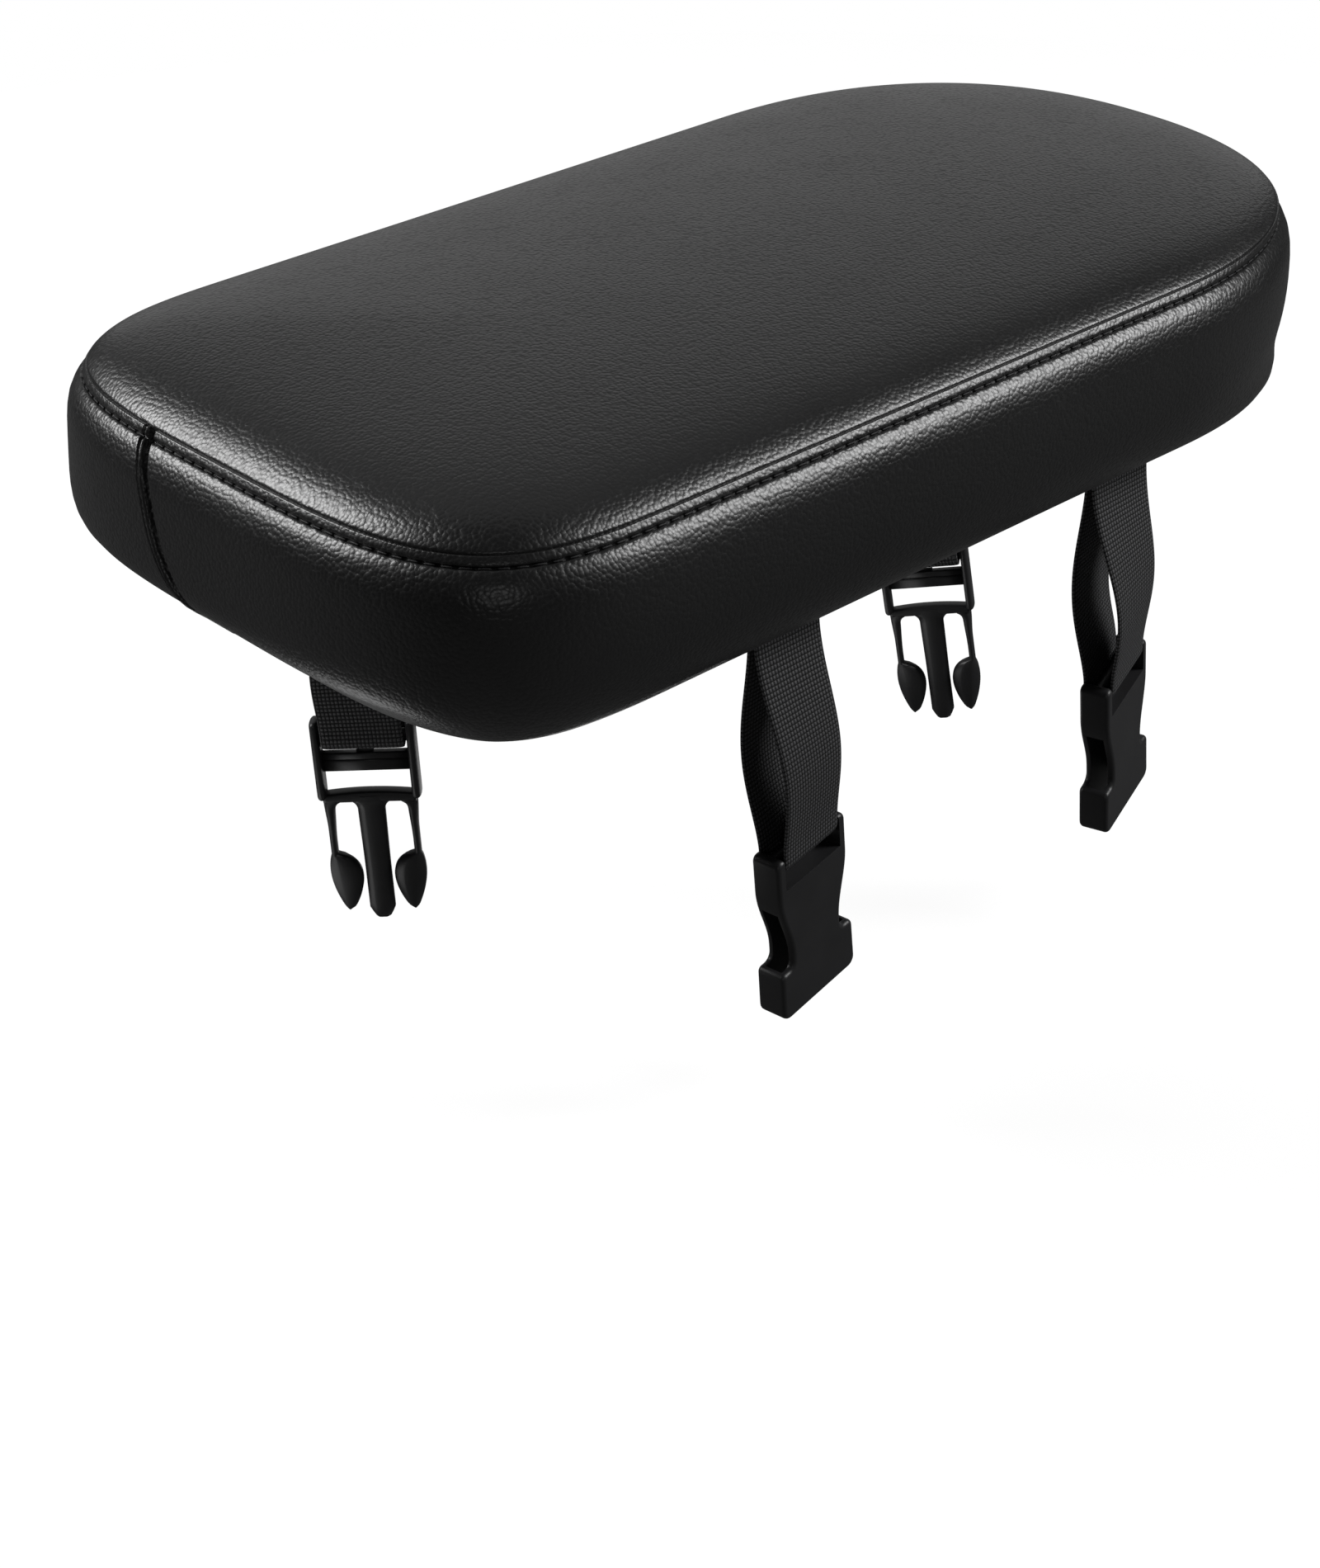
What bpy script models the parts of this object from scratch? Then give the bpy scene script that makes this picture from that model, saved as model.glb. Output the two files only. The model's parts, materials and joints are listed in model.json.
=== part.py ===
"""Padded cushion for a bicycle's rear rack: a stitched cover over foam on a moulded board, with four
webbing loops underneath that carry two male and two female side-release buckle halves.

Metres, +Z up. +X points to the round end, -X to the flatter end. The origin is the centre of the
cushion's underside, which is its resting face, and the straps hang below it.
"""

import math

import bmesh
import bpy
from mathutils import Matrix, Vector

MM = 0.001
GAP = 0.3 * MM

# Plan of the cushion, taken along the seam line
LENGTH = 300 * MM
WIDTH = 158 * MM
FLAT_END_DEPTH = 60 * MM
FLAT_END_POWER = 3.74
ROUND_END_DEPTH = 86 * MM
ROUND_END_POWER = 2.26
END_POINTS = 24
SIDE_POINTS = 2

# Heights of the cushion
SEAM_HEIGHT = 48 * MM
EDGE_RISE = 4.0 * MM
EDGE_RUN = 3.4 * MM
CROWN = 4.8 * MM
RIM_ZONE = 20 * MM
TOP_RINGS = (3.4 * MM, 7 * MM, 13 * MM, 22 * MM, 36 * MM, 54 * MM, 70 * MM)

# Cover sheets
LEATHER = 1.0 * MM
SEAM_ALLOWANCE = 6.5 * MM
BAND_BULGE = 5.5 * MM
BAND_FOOT_INSET = 9.0 * MM
BAND_FOOT_RISE = 1.4 * MM
HEM_WIDTH = 11 * MM
CLOTH = 0.8 * MM
CLOTH_INSET = 9.0 * MM

# Board, with a pocket in its underside for each pair of webbing ends
BOARD_THICKNESS = 6.0 * MM
BOARD_INSET = 9.1 * MM
POCKET_WEB = 2.4 * MM

# Webbing
WEBBING_WIDTH = 20 * MM
WEBBING = 1.2 * MM
LAYER_GAP = 0.3 * MM
FLAP_LENGTH = 24 * MM
BEND_RADIUS = 1.0 * MM
LOOP_BULGE = 3.6 * MM
LOOP_RADIUS = 3.6 * MM
LEG_STATIONS = 8
BIGHT_STATIONS = 8
SLIT_CLEARANCE = 0.35 * MM

# Rivets through the webbing ends and the board
RIVET_SHANK_RADIUS = 1.6 * MM
RIVET_HEAD_RADIUS = 3.3 * MM
RIVET_HEAD = 1.1 * MM
RIVET_FLARE_RADIUS = 2.8 * MM
RIVET_FLARE = 0.7 * MM
RIVET_SPACING = 10 * MM
RIVET_REACH = 15 * MM

# Buckle halves: origin on the webbing bar's axis, X along the bar, Z up towards the webbing
BAR_RADIUS = 1.6 * MM
BAR_OPENING = WEBBING_WIDTH + 0.8 * MM
FEMALE_THICKNESS = 8.0 * MM
FEMALE_HALF_WIDTH = 12.9 * MM
FEMALE_TOP = 2.2 * MM
FEMALE_BODY_TOP = -6.5 * MM
FEMALE_WAIST = 9.2 * MM
FEMALE_MOUTH_HALF_WIDTH = 14.0 * MM
FEMALE_MOUTH = -44.0 * MM
SOCKET_WIDTH = 24.4 * MM
SOCKET_HEIGHT = 4.6 * MM
SOCKET_DEPTH = 35.0 * MM
FEMALE_EDGE = 1.0 * MM

MALE_HALF_WIDTH = 12.8 * MM
MALE_RAIL_TOP = 4.8 * MM
MALE_RAIL_FOOT = -17.2 * MM
MALE_RAIL_DEPTH = 6.0 * MM
MALE_LOWER_BAR_TOP = -5.4 * MM
MALE_LOWER_BAR_HEIGHT = 4.0 * MM
MALE_LOWER_BAR_DEPTH = 2.5 * MM
MALE_FORK_DEPTH = 3.6 * MM
MALE_SLOT_FOOT = -15.9 * MM
MALE_SLOT_ARCH = 0.8 * MM
ARM_OUTER = 11.2 * MM
ARM_INNER = 8.8 * MM
BARB_OUTER = 12.0 * MM
BARB_INNER = 4.8 * MM
BARB_TOP = -34.0 * MM
BARB_TIP = -50.0 * MM
PRONG_HALF_WIDTH = 3.4 * MM
PRONG_TIP = -52.0 * MM
GAP_TOP = -18.2 * MM
MALE_EDGE = 0.5 * MM
RAIL_EDGE = 0.7 * MM

# Straps: where each loop leaves the underside, and how its buckle hangs
FEMALE_STRAP_MIDDLE = 5 * MM
FEMALE_STRAP_X = 56.5 * MM
FEMALE_STRAP_Y = -66 * MM
FEMALE_SHIFTS = (6.5 * MM, 8 * MM)
FEMALE_DROP = 61 * MM
MALE_STRAP_X = 99 * MM
MALE_STRAP_Y = 35 * MM
MALE_SHIFT = 4 * MM
MALE_DROPS = (53 * MM, 76 * MM)
FEMALE_HEADINGS = (8, 18)
FEMALE_LEANS = (5.5, 9.5)
MALE_HEADINGS = (-44, -52)
MALE_LEANS = (2, 8.5)

# Heights that follow from the stack: cloth, hem, board, foam
HEM_FOOT = CLOTH + GAP
BOARD_FOOT = HEM_FOOT + LEATHER + GAP
BOARD_TOP = BOARD_FOOT + BOARD_THICKNESS
POCKET_CEILING = BOARD_TOP - POCKET_WEB
UPPER_LAYER = POCKET_CEILING - GAP - WEBBING / 2
LAYER_PITCH = WEBBING + LAYER_GAP
LOWER_LAYER = UPPER_LAYER - LAYER_PITCH
FOAM_FOOT = BOARD_TOP + GAP
SLIT_HALF = LAYER_PITCH / 2 + WEBBING / 2 + SLIT_CLEARANCE
HALF_LENGTH = LENGTH / 2
HALF_WIDTH = WIDTH / 2


def clear_scene():
    for obj in list(bpy.data.objects):
        bpy.data.objects.remove(obj, do_unlink=True)


def make_collection(name):
    collection = bpy.data.collections.new(name)
    bpy.context.scene.collection.children.link(collection)
    return collection


def make_material(name, colour, roughness, metallic=0.0):
    material = bpy.data.materials.new(name)
    material.use_nodes = True
    shader = material.node_tree.nodes["Principled BSDF"]
    shader.inputs["Base Color"].default_value = (*colour, 1.0)
    shader.inputs["Roughness"].default_value = roughness
    shader.inputs["Metallic"].default_value = metallic
    return material


# Plan outline and its insets

def resample(points, count):
    """count + 1 points at even distances along a polyline."""
    lengths = [0.0]
    for a, b in zip(points, points[1:]):
        lengths.append(lengths[-1] + (b - a).length)
    result = []
    step = 0
    for i in range(count + 1):
        goal = lengths[-1] * i / count
        while step < len(points) - 2 and lengths[step + 1] < goal:
            step += 1
        share = (goal - lengths[step]) / (lengths[step + 1] - lengths[step])
        result.append(points[step].lerp(points[step + 1], share))
    return result


def end_curve(depth, power):
    """The +X end of the plan as a super-ellipse, from -Y to +Y, relative to where it starts."""
    fine = []
    for i in range(721):
        angle = math.pi * (i / 720 - 0.5)
        across = abs(math.sin(angle)) ** (2 / power) * HALF_WIDTH
        along = abs(math.cos(angle)) ** (2 / power) * depth
        fine.append(Vector((along, math.copysign(across, angle))))
    return resample(fine, END_POINTS)


def plan_outline():
    """The seam line seen from above, anticlockwise, starting at the round end's -Y corner."""
    right = []
    for point in end_curve(ROUND_END_DEPTH, ROUND_END_POWER):
        right.append(Vector((HALF_LENGTH - ROUND_END_DEPTH + point.x, point.y)))
    left = []
    for point in end_curve(FLAT_END_DEPTH, FLAT_END_POWER):
        left.append(Vector((FLAT_END_DEPTH - HALF_LENGTH - point.x, -point.y)))
    far_side = resample([right[-1], left[0]], SIDE_POINTS + 1)[1:-1]
    near_side = resample([left[-1], right[0]], SIDE_POINTS + 1)[1:-1]
    return right + far_side + left + near_side


def plan_ring(inset):
    """The plan outline moved inward, mitred so that every wall keeps its thickness."""
    base = plan_outline()
    ring = []
    for i, point in enumerate(base):
        before = (point - base[i - 1]).normalized()
        after = (base[(i + 1) % len(base)] - point).normalized()
        middle = (before + after).normalized()
        inward = Vector((-middle.y, middle.x))
        ring.append(point + inward * inset / middle.dot(after))
    return ring


def dome_ring(inset):
    """Like plan_ring near the rim, and drawn in towards the cushion's middle line further in."""
    if inset <= RIM_ZONE:
        return plan_ring(inset)
    share = (inset - RIM_ZONE) / (HALF_WIDTH - RIM_ZONE)
    reach = HALF_LENGTH - HALF_WIDTH
    ring = []
    for point in plan_ring(RIM_ZONE):
        spine = Vector((max(-reach, min(reach, point.x)), 0))
        ring.append(point.lerp(spine, share))
    return ring


def top_height(inset):
    """Height of the top panel's outer face at a distance in from the seam."""
    edge = EDGE_RISE * (1 - math.exp(-inset / EDGE_RUN))
    crown = CROWN * (1 - (1 - inset / HALF_WIDTH) ** 2)
    return SEAM_HEIGHT + edge + crown


# Building blocks

def add_object(name, mesh, material, collection):
    obj = bpy.data.objects.new(name, mesh)
    collection.objects.link(obj)
    if material:
        mesh.materials.append(material)
    return obj


def loft_mesh(name, rings, cap_first=False, cap_last=False):
    """Quads between rings of equal count, from the first ring to the last."""
    bm = bmesh.new()
    rows = [[bm.verts.new(point) for point in ring] for ring in rings]
    count = len(rows[0])
    for lower, upper in zip(rows, rows[1:]):
        for i in range(count):
            j = (i + 1) % count
            bm.faces.new((lower[i], lower[j], upper[j], upper[i]))
    if cap_first:
        bm.faces.new(rows[0][::-1])
    if cap_last:
        bm.faces.new(rows[-1])
    mesh = bpy.data.meshes.new(name)
    bm.to_mesh(mesh)
    bm.free()
    return mesh


def lift(ring, height):
    return [Vector((point.x, point.y, height)) for point in ring]


def add_solidify(obj, thickness, offset=-1.0):
    modifier = obj.modifiers.new("thickness", "SOLIDIFY")
    modifier.thickness = thickness
    modifier.offset = offset
    modifier.use_even_offset = True
    modifier.use_rim = True
    return modifier


def add_bevel(obj, width, segments=2):
    modifier = obj.modifiers.new("edges", "BEVEL")
    modifier.width = width
    modifier.segments = segments
    modifier.limit_method = "ANGLE"
    modifier.angle_limit = math.radians(40)
    return modifier


def add_boolean(obj, other, operation="DIFFERENCE"):
    modifier = obj.modifiers.new(other.name, "BOOLEAN")
    modifier.operation = operation
    modifier.solver = "EXACT"
    modifier.object = other
    return modifier


def flat_outline(name, points, thickness):
    """A closed outline in the XY plane, extruded evenly about it, as a welded mesh object."""
    curve = bpy.data.curves.new(name, "CURVE")
    curve.dimensions = "2D"
    curve.fill_mode = "BOTH"
    curve.extrude = thickness / 2
    spline = curve.splines.new("POLY")
    spline.points.add(len(points) - 1)
    for slot, point in zip(spline.points, points):
        slot.co = (point[0], point[1], 0, 1)
    spline.use_cyclic_u = True
    holder = bpy.data.objects.new(name + "_outline", curve)
    bpy.context.scene.collection.objects.link(holder)
    evaluated = holder.evaluated_get(bpy.context.evaluated_depsgraph_get())
    mesh = bpy.data.meshes.new_from_object(evaluated)
    mesh.name = name
    bm = bmesh.new()
    bm.from_mesh(mesh)
    bmesh.ops.remove_doubles(bm, verts=bm.verts, dist=0.01 * MM)
    bmesh.ops.dissolve_limit(bm, angle_limit=math.radians(1), verts=bm.verts, edges=bm.edges)
    bmesh.ops.recalc_face_normals(bm, faces=bm.faces)
    bm.to_mesh(mesh)
    bm.free()
    bpy.data.objects.remove(holder, do_unlink=True)
    return mesh


def rounded(corners, segments=3):
    """A closed outline from corners (x, z, fillet radius), each fillet as an arc."""
    outline = []
    for i, (x, z, radius) in enumerate(corners):
        corner = Vector((x, z))
        before = Vector(corners[i - 1][:2]) - corner
        after = Vector(corners[(i + 1) % len(corners)][:2]) - corner
        half = before.angle(after) / 2
        if radius <= 0 or math.pi / 2 - half < math.radians(1):
            outline.append(corner)
            continue
        reach = min(radius / math.tan(half), before.length * 0.49, after.length * 0.49)
        bisector = (before.normalized() + after.normalized()).normalized()
        centre = corner + bisector * reach / math.cos(half)
        start = corner + before.normalized() * reach - centre
        end = corner + after.normalized() * reach - centre
        turn = start.angle_signed(end)
        for k in range(segments + 1):
            outline.append(centre + Matrix.Rotation(-turn * k / segments, 2) @ start)
    return outline


def mirrored(half):
    """A whole outline from its +X half, listed from the centre line round to the centre line."""
    other = [(-x, z, r) for x, z, r in reversed(half) if abs(x) > 0.01 * MM]
    return half + other


def stand_up(mesh):
    """Turns a flat outline's mesh from the XY plane to the XZ plane."""
    mesh.transform(Matrix.Rotation(math.radians(90), 4, "X"))


def add_box(name, size, centre, collection):
    bpy.ops.mesh.primitive_cube_add(size=1)
    box = bpy.context.object
    box.name = name
    box.data.transform(Matrix.Diagonal((*size, 1)))
    box.data.transform(Matrix.Translation(centre))
    move_to(box, collection)
    return box


def add_cylinder(name, radius, depth, centre, axis, sides, collection):
    bpy.ops.mesh.primitive_cylinder_add(radius=radius, depth=depth, vertices=sides)
    rod = bpy.context.object
    rod.name = name
    if axis == "X":
        rod.data.transform(Matrix.Rotation(math.radians(90), 4, "Y"))
    rod.data.transform(Matrix.Translation(centre))
    move_to(rod, collection)
    return rod


def move_to(obj, collection):
    for old in list(obj.users_collection):
        old.objects.unlink(obj)
    collection.objects.link(obj)


def hide_tool(obj):
    obj.hide_render = True
    obj.display_type = "WIRE"


# Cushion

def make_top_panel(material, parts):
    """Domed sheet, turned in under itself at the seam."""
    seam = SEAM_HEIGHT + GAP / 2
    rings = [lift(plan_ring(SEAM_ALLOWANCE), seam), lift(plan_ring(0), seam)]
    for inset in TOP_RINGS:
        rings.append(lift(dome_ring(inset), top_height(inset)))
    mesh = loft_mesh("top_panel", rings, cap_last=True)
    obj = add_object("top_panel", mesh, material, parts)
    add_solidify(obj, LEATHER)
    return obj


def band_path():
    """Outer face of the band from its seam to its hem, as (inset, height) pairs."""
    seam = SEAM_HEIGHT - GAP / 2
    shape = ((0.06, 0.55), (0.20, 0.86), (0.38, 1.0), (0.56, 0.85), (0.73, 0.42), (0.87, -0.3))
    path = [(SEAM_ALLOWANCE, seam), (0, seam)]
    for drop, bulge in shape:
        path.append((-BAND_BULGE * bulge, seam * (1 - drop)))
    path.append((BAND_FOOT_INSET * 0.55, HEM_FOOT + BAND_FOOT_RISE))
    path.append((BAND_FOOT_INSET, HEM_FOOT))
    path.append((BAND_FOOT_INSET + HEM_WIDTH, HEM_FOOT))
    return path


def make_side_band(material, parts, slits):
    """Bulged wall, turned in at the seam and folded under the board as a hem."""
    rings = [lift(plan_ring(inset), height) for inset, height in reversed(band_path())]
    obj = add_object("side_band", loft_mesh("side_band", rings), material, parts)
    add_solidify(obj, LEATHER)
    for slit in slits:
        add_boolean(obj, slit)
    return obj


def band_inset(height):
    """Inset of the band's outer face at a height on its wall."""
    wall = band_path()[1:8]
    for (upper, high), (lower, low) in zip(wall, wall[1:]):
        if low <= height <= high:
            return lower + (upper - lower) * (height - low) / (high - low)
    raise ValueError("height is not on the wall")


def make_foam_pad(material, parts, recesses):
    """Foam block that fills the cover, with a groove round it for the seam allowances."""
    wall = (LEATHER + GAP) * 1.2
    groove = SEAM_ALLOWANCE + GAP * 1.5
    lip = LEATHER + GAP * 2
    path = band_path()
    heights = [FOAM_FOOT] + [height for inset, height in reversed(path[3:7]) if height > FOAM_FOOT]
    rings = [lift(plan_ring(band_inset(height) + wall), height) for height in heights]
    shoulder = path[2][1] - lip
    rings.append(lift(plan_ring(band_inset(shoulder) + wall * 2), shoulder))
    rings.append(lift(plan_ring(groove), SEAM_HEIGHT - lip))
    rings.append(lift(plan_ring(groove), SEAM_HEIGHT + lip))
    for inset in TOP_RINGS[2:]:
        rings.append(lift(dome_ring(inset), top_height(inset) - lip))
    mesh = loft_mesh("foam_pad", rings, cap_first=True, cap_last=True)
    obj = add_object("foam_pad", mesh, material, parts)
    for recess in recesses:
        add_boolean(obj, recess)
    return obj


def make_plate(name, inset, foot, thickness, material, parts, cutters):
    mesh = flat_outline(name, plan_ring(inset), thickness)
    mesh.transform(Matrix.Translation((0, 0, foot + thickness / 2)))
    obj = add_object(name, mesh, material, parts)
    for cutter in cutters:
        add_boolean(obj, cutter)
    return obj


# Straps

def hang(leave, shift, drop, heading):
    """Where a bar hangs: below the slit, and moved along its own heading."""
    turn = Matrix.Rotation(math.radians(heading), 3, "Z")
    return leave + turn @ Vector((shift, 0, 0)) - Vector((0, 0, drop))


def strap_places():
    """Name, where the loop leaves the underside, bar point, heading, lean and inward side of each."""
    places = []
    for i, side in enumerate((-1, 1)):
        leave = Vector((FEMALE_STRAP_MIDDLE + side * FEMALE_STRAP_X, FEMALE_STRAP_Y, 0))
        bar = hang(leave, FEMALE_SHIFTS[i], FEMALE_DROP, FEMALE_HEADINGS[i])
        places.append((f"female_{i + 1}", leave, bar, FEMALE_HEADINGS[i], FEMALE_LEANS[i], 1))
    for i, side in enumerate((-1, 1)):
        leave = Vector((side * MALE_STRAP_X, MALE_STRAP_Y, 0))
        bar = hang(leave, MALE_SHIFT, MALE_DROPS[i], MALE_HEADINGS[i])
        places.append((f"male_{i + 1}", leave, bar, MALE_HEADINGS[i], MALE_LEANS[i], -1))
    return places


def buckle_frame(heading, lean):
    """Rotation of a hanging buckle half: X along its bar, Z up its middle."""
    turn = Matrix.Rotation(math.radians(heading), 3, "Z")
    tip = Matrix.Rotation(-math.radians(lean), 3, "Y")
    return turn @ tip


def smooth(share):
    return share * share * (3 - 2 * share)


def loop_half_gap(share):
    """Half the distance between a loop's two legs, from the slit (0) to the bight (1)."""
    start = LAYER_PITCH / 2
    swell = share ** 2.5 * (1 - share) ** 2 / 0.0455
    return start + (LOOP_RADIUS - start) * smooth(share) + LOOP_BULGE * swell


def webbing_stations(leave, bar, heading, lean, inward):
    """Middle line of a webbing loop as (point, width direction) pairs, from one flap to the other."""
    frame = buckle_frame(heading, lean)
    width_end = frame @ Vector((1, 0, 0))
    up_end = frame @ Vector((0, 0, 1))
    across_end = frame @ Vector((0, 1, 0))
    bend_height = LOWER_LAYER - BEND_RADIUS
    top = Vector((leave.x, leave.y, bend_height))
    rise = LOOP_RADIUS - BAR_RADIUS - GAP - WEBBING / 2
    bight = bar + up_end * rise
    pull = (top - bight).length / 3
    in_dir = Vector((0, inward, 0))
    width_start = Vector((1, 0, 0))

    def leg(side, share):
        a = top
        b = top - Vector((0, 0, pull))
        c = bight + up_end * pull
        keep = 1 - share
        centre = a * keep ** 3 + b * 3 * keep ** 2 * share + c * 3 * keep * share ** 2 + bight * share ** 3
        twist = smooth(min(1.0, share / 0.85))
        width = width_start.lerp(width_end, twist).normalized()
        up = Vector((0, 0, 1)).lerp(up_end, twist)
        across = up.cross(width).normalized()
        return centre + across * side * loop_half_gap(share), width

    def flap(side, layer, radius):
        """From the free end to the top of the leg, with the bend into the slit."""
        start_x = LAYER_PITCH / 2 + BEND_RADIUS
        stations = []
        base = Vector((leave.x, leave.y, 0))
        stations.append(base + in_dir * FLAP_LENGTH + Vector((0, 0, layer)))
        for k in range(3):
            angle = math.radians(90 + 30 * k)
            out = start_x + math.cos(angle) * radius
            height = bend_height + math.sin(angle) * radius
            stations.append(base + in_dir * out + Vector((0, 0, height)))
        return [(point, width_start) for point in stations]

    outer = flap(-inward, UPPER_LAYER, BEND_RADIUS + LAYER_PITCH)
    inner = flap(inward, LOWER_LAYER, BEND_RADIUS)
    path = list(outer)
    for k in range(LEG_STATIONS + 1):
        path.append(leg(-inward, k / LEG_STATIONS))
    for k in range(1, BIGHT_STATIONS):
        angle = math.pi * k / BIGHT_STATIONS
        point = bight - across_end * inward * math.cos(angle) * LOOP_RADIUS
        path.append((point - up_end * math.sin(angle) * LOOP_RADIUS, width_end))
    for k in range(LEG_STATIONS, -1, -1):
        path.append(leg(inward, k / LEG_STATIONS))
    path.extend(reversed(inner))
    return path


def make_webbing(name, place, material, parts, holes):
    path = webbing_stations(*place)
    bm = bmesh.new()
    rows = []
    for point, width in path:
        half = width * WEBBING_WIDTH / 2
        rows.append((bm.verts.new(point - half), bm.verts.new(point + half)))
    for first, second in zip(rows, rows[1:]):
        bm.faces.new((first[0], first[1], second[1], second[0]))
    mesh = bpy.data.meshes.new(name)
    bm.to_mesh(mesh)
    bm.free()
    obj = add_object(name, mesh, material, parts)
    add_solidify(obj, WEBBING, offset=0.0)
    for hole in holes:
        add_boolean(obj, hole)
    return obj


def rivet_points(leave, inward):
    centre = leave.y + inward * RIVET_REACH
    return [Vector((leave.x + side * RIVET_SPACING / 2, centre, 0)) for side in (-1, 1)]


def make_rivet(name, point, material, parts):
    """Turned rivet: domed head on the board's top, flare under the lower webbing layer."""
    head_foot = BOARD_TOP + GAP * 0.5
    flare_top = LOWER_LAYER - WEBBING / 2 - GAP * 0.5
    profile = (
        (0, head_foot + RIVET_HEAD),
        (RIVET_HEAD_RADIUS * 0.7, head_foot + RIVET_HEAD * 0.85),
        (RIVET_HEAD_RADIUS, head_foot + RIVET_HEAD * 0.3),
        (RIVET_HEAD_RADIUS, head_foot),
        (RIVET_SHANK_RADIUS, head_foot),
        (RIVET_SHANK_RADIUS, flare_top),
        (RIVET_FLARE_RADIUS, flare_top),
        (RIVET_FLARE_RADIUS * 0.8, flare_top - RIVET_FLARE),
        (0, flare_top - RIVET_FLARE),
    )
    bm = bmesh.new()
    verts = [bm.verts.new((radius, 0, height)) for radius, height in profile]
    for a, b in zip(verts, verts[1:]):
        bm.edges.new((a, b))
    mesh = bpy.data.meshes.new(name)
    bm.to_mesh(mesh)
    bm.free()
    obj = add_object(name, mesh, material, parts)
    obj.location = point
    turn = obj.modifiers.new("turn", "SCREW")
    turn.steps = 12
    turn.render_steps = 12
    turn.use_merge_vertices = True
    turn.merge_threshold = 0.05 * MM
    return obj


# Buckle halves

def make_female_mesh():
    half = [
        (0, FEMALE_TOP, 0),
        (FEMALE_HALF_WIDTH, FEMALE_TOP, 1.2 * MM),
        (FEMALE_HALF_WIDTH, FEMALE_MOUTH + 34.0 * MM, 14 * MM),
        (FEMALE_WAIST, FEMALE_MOUTH + 22.0 * MM, 9 * MM),
        (FEMALE_WAIST, FEMALE_MOUTH + 16.0 * MM, 2.0 * MM),
        (FEMALE_MOUTH_HALF_WIDTH - 0.4 * MM, FEMALE_MOUTH + 13.0 * MM, 1.6 * MM),
        (FEMALE_MOUTH_HALF_WIDTH, FEMALE_MOUTH, 1.4 * MM),
        (0, FEMALE_MOUTH, 0),
    ]
    mesh = flat_outline("female_buckle", rounded(mirrored(half)), FEMALE_THICKNESS)
    stand_up(mesh)
    return mesh


def make_female_tools(tools):
    """Cutters and the webbing bar, shared by the two female halves, in their local frame."""
    slot_height = FEMALE_TOP + 1 * MM - FEMALE_BODY_TOP
    slot = add_box(
        "female_slot_cutter",
        (BAR_OPENING, FEMALE_THICKNESS * 2, slot_height),
        (0, 0, FEMALE_BODY_TOP + slot_height / 2),
        tools,
    )
    socket = add_box(
        "female_socket_cutter",
        (SOCKET_WIDTH, SOCKET_HEIGHT, SOCKET_DEPTH + 1 * MM),
        (0, 0, FEMALE_MOUTH + SOCKET_DEPTH / 2 - 0.5 * MM),
        tools,
    )
    bar = add_cylinder("female_bar_tool", BAR_RADIUS, BAR_OPENING + 2 * MM, (0, 0, 0), "X", 16, tools)
    return slot, socket, bar


def make_male_mesh():
    """Fork of the male half: crossbar, two sprung arms with barbs and the centre prong."""
    gap_middle = (ARM_INNER + PRONG_HALF_WIDTH) / 2
    half = [
        (0, MALE_SLOT_FOOT + MALE_SLOT_ARCH, 0),
        (BAR_OPENING / 2 + 1 * MM, MALE_SLOT_FOOT, 0),
        (BAR_OPENING / 2 + 1 * MM, GAP_TOP + 1.2 * MM, 0),
        (ARM_OUTER, GAP_TOP - 1.5 * MM, 1.5 * MM),
        (ARM_OUTER, BARB_TOP + 1 * MM, 1.0 * MM),
        (BARB_OUTER, BARB_TOP - 2.5 * MM, 2.0 * MM),
        (BARB_OUTER, BARB_TOP - 8 * MM, 8.0 * MM),
        (7.8 * MM, BARB_TIP, 1.0 * MM),
        (BARB_INNER, BARB_TIP + 7 * MM, 6.0 * MM),
        (BARB_INNER, BARB_TOP - 4 * MM, 3.0 * MM),
        (ARM_INNER, BARB_TOP + 1 * MM, 3.0 * MM),
        (ARM_INNER, GAP_TOP, (gap_middle - PRONG_HALF_WIDTH) * 0.95),
        (PRONG_HALF_WIDTH, GAP_TOP, (gap_middle - PRONG_HALF_WIDTH) * 0.95),
        (PRONG_HALF_WIDTH, PRONG_TIP + 3 * MM, 2.0 * MM),
        (PRONG_HALF_WIDTH * 0.6, PRONG_TIP, 1.0 * MM),
        (0, PRONG_TIP, 0),
    ]
    mesh = flat_outline("male_buckle", rounded(mirrored(half)), MALE_FORK_DEPTH)
    stand_up(mesh)
    return mesh


def make_male_tools(tools):
    """Rails and bars of the male half's ladder, joined to its fork."""
    rail_width = MALE_HALF_WIDTH - BAR_OPENING / 2
    rail_height = MALE_RAIL_TOP - MALE_RAIL_FOOT
    joined = []
    for side in (-1, 1):
        rail = add_box(
            f"male_rail_tool_{'l' if side < 0 else 'r'}",
            (rail_width, MALE_RAIL_DEPTH, rail_height),
            (side * (BAR_OPENING / 2 + rail_width / 2), 0, MALE_RAIL_TOP - rail_height / 2),
            tools,
        )
        add_bevel(rail, RAIL_EDGE)
        joined.append(rail)
    lower = add_box(
        "male_lower_bar_tool",
        (BAR_OPENING + 2 * MM, MALE_LOWER_BAR_DEPTH, MALE_LOWER_BAR_HEIGHT),
        (0, 0, MALE_LOWER_BAR_TOP - MALE_LOWER_BAR_HEIGHT / 2),
        tools,
    )
    joined.append(lower)
    bar = add_cylinder("male_bar_tool", BAR_RADIUS, BAR_OPENING + 2 * MM, (0, 0, 0), "X", 16, tools)
    joined.append(bar)
    return joined


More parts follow.
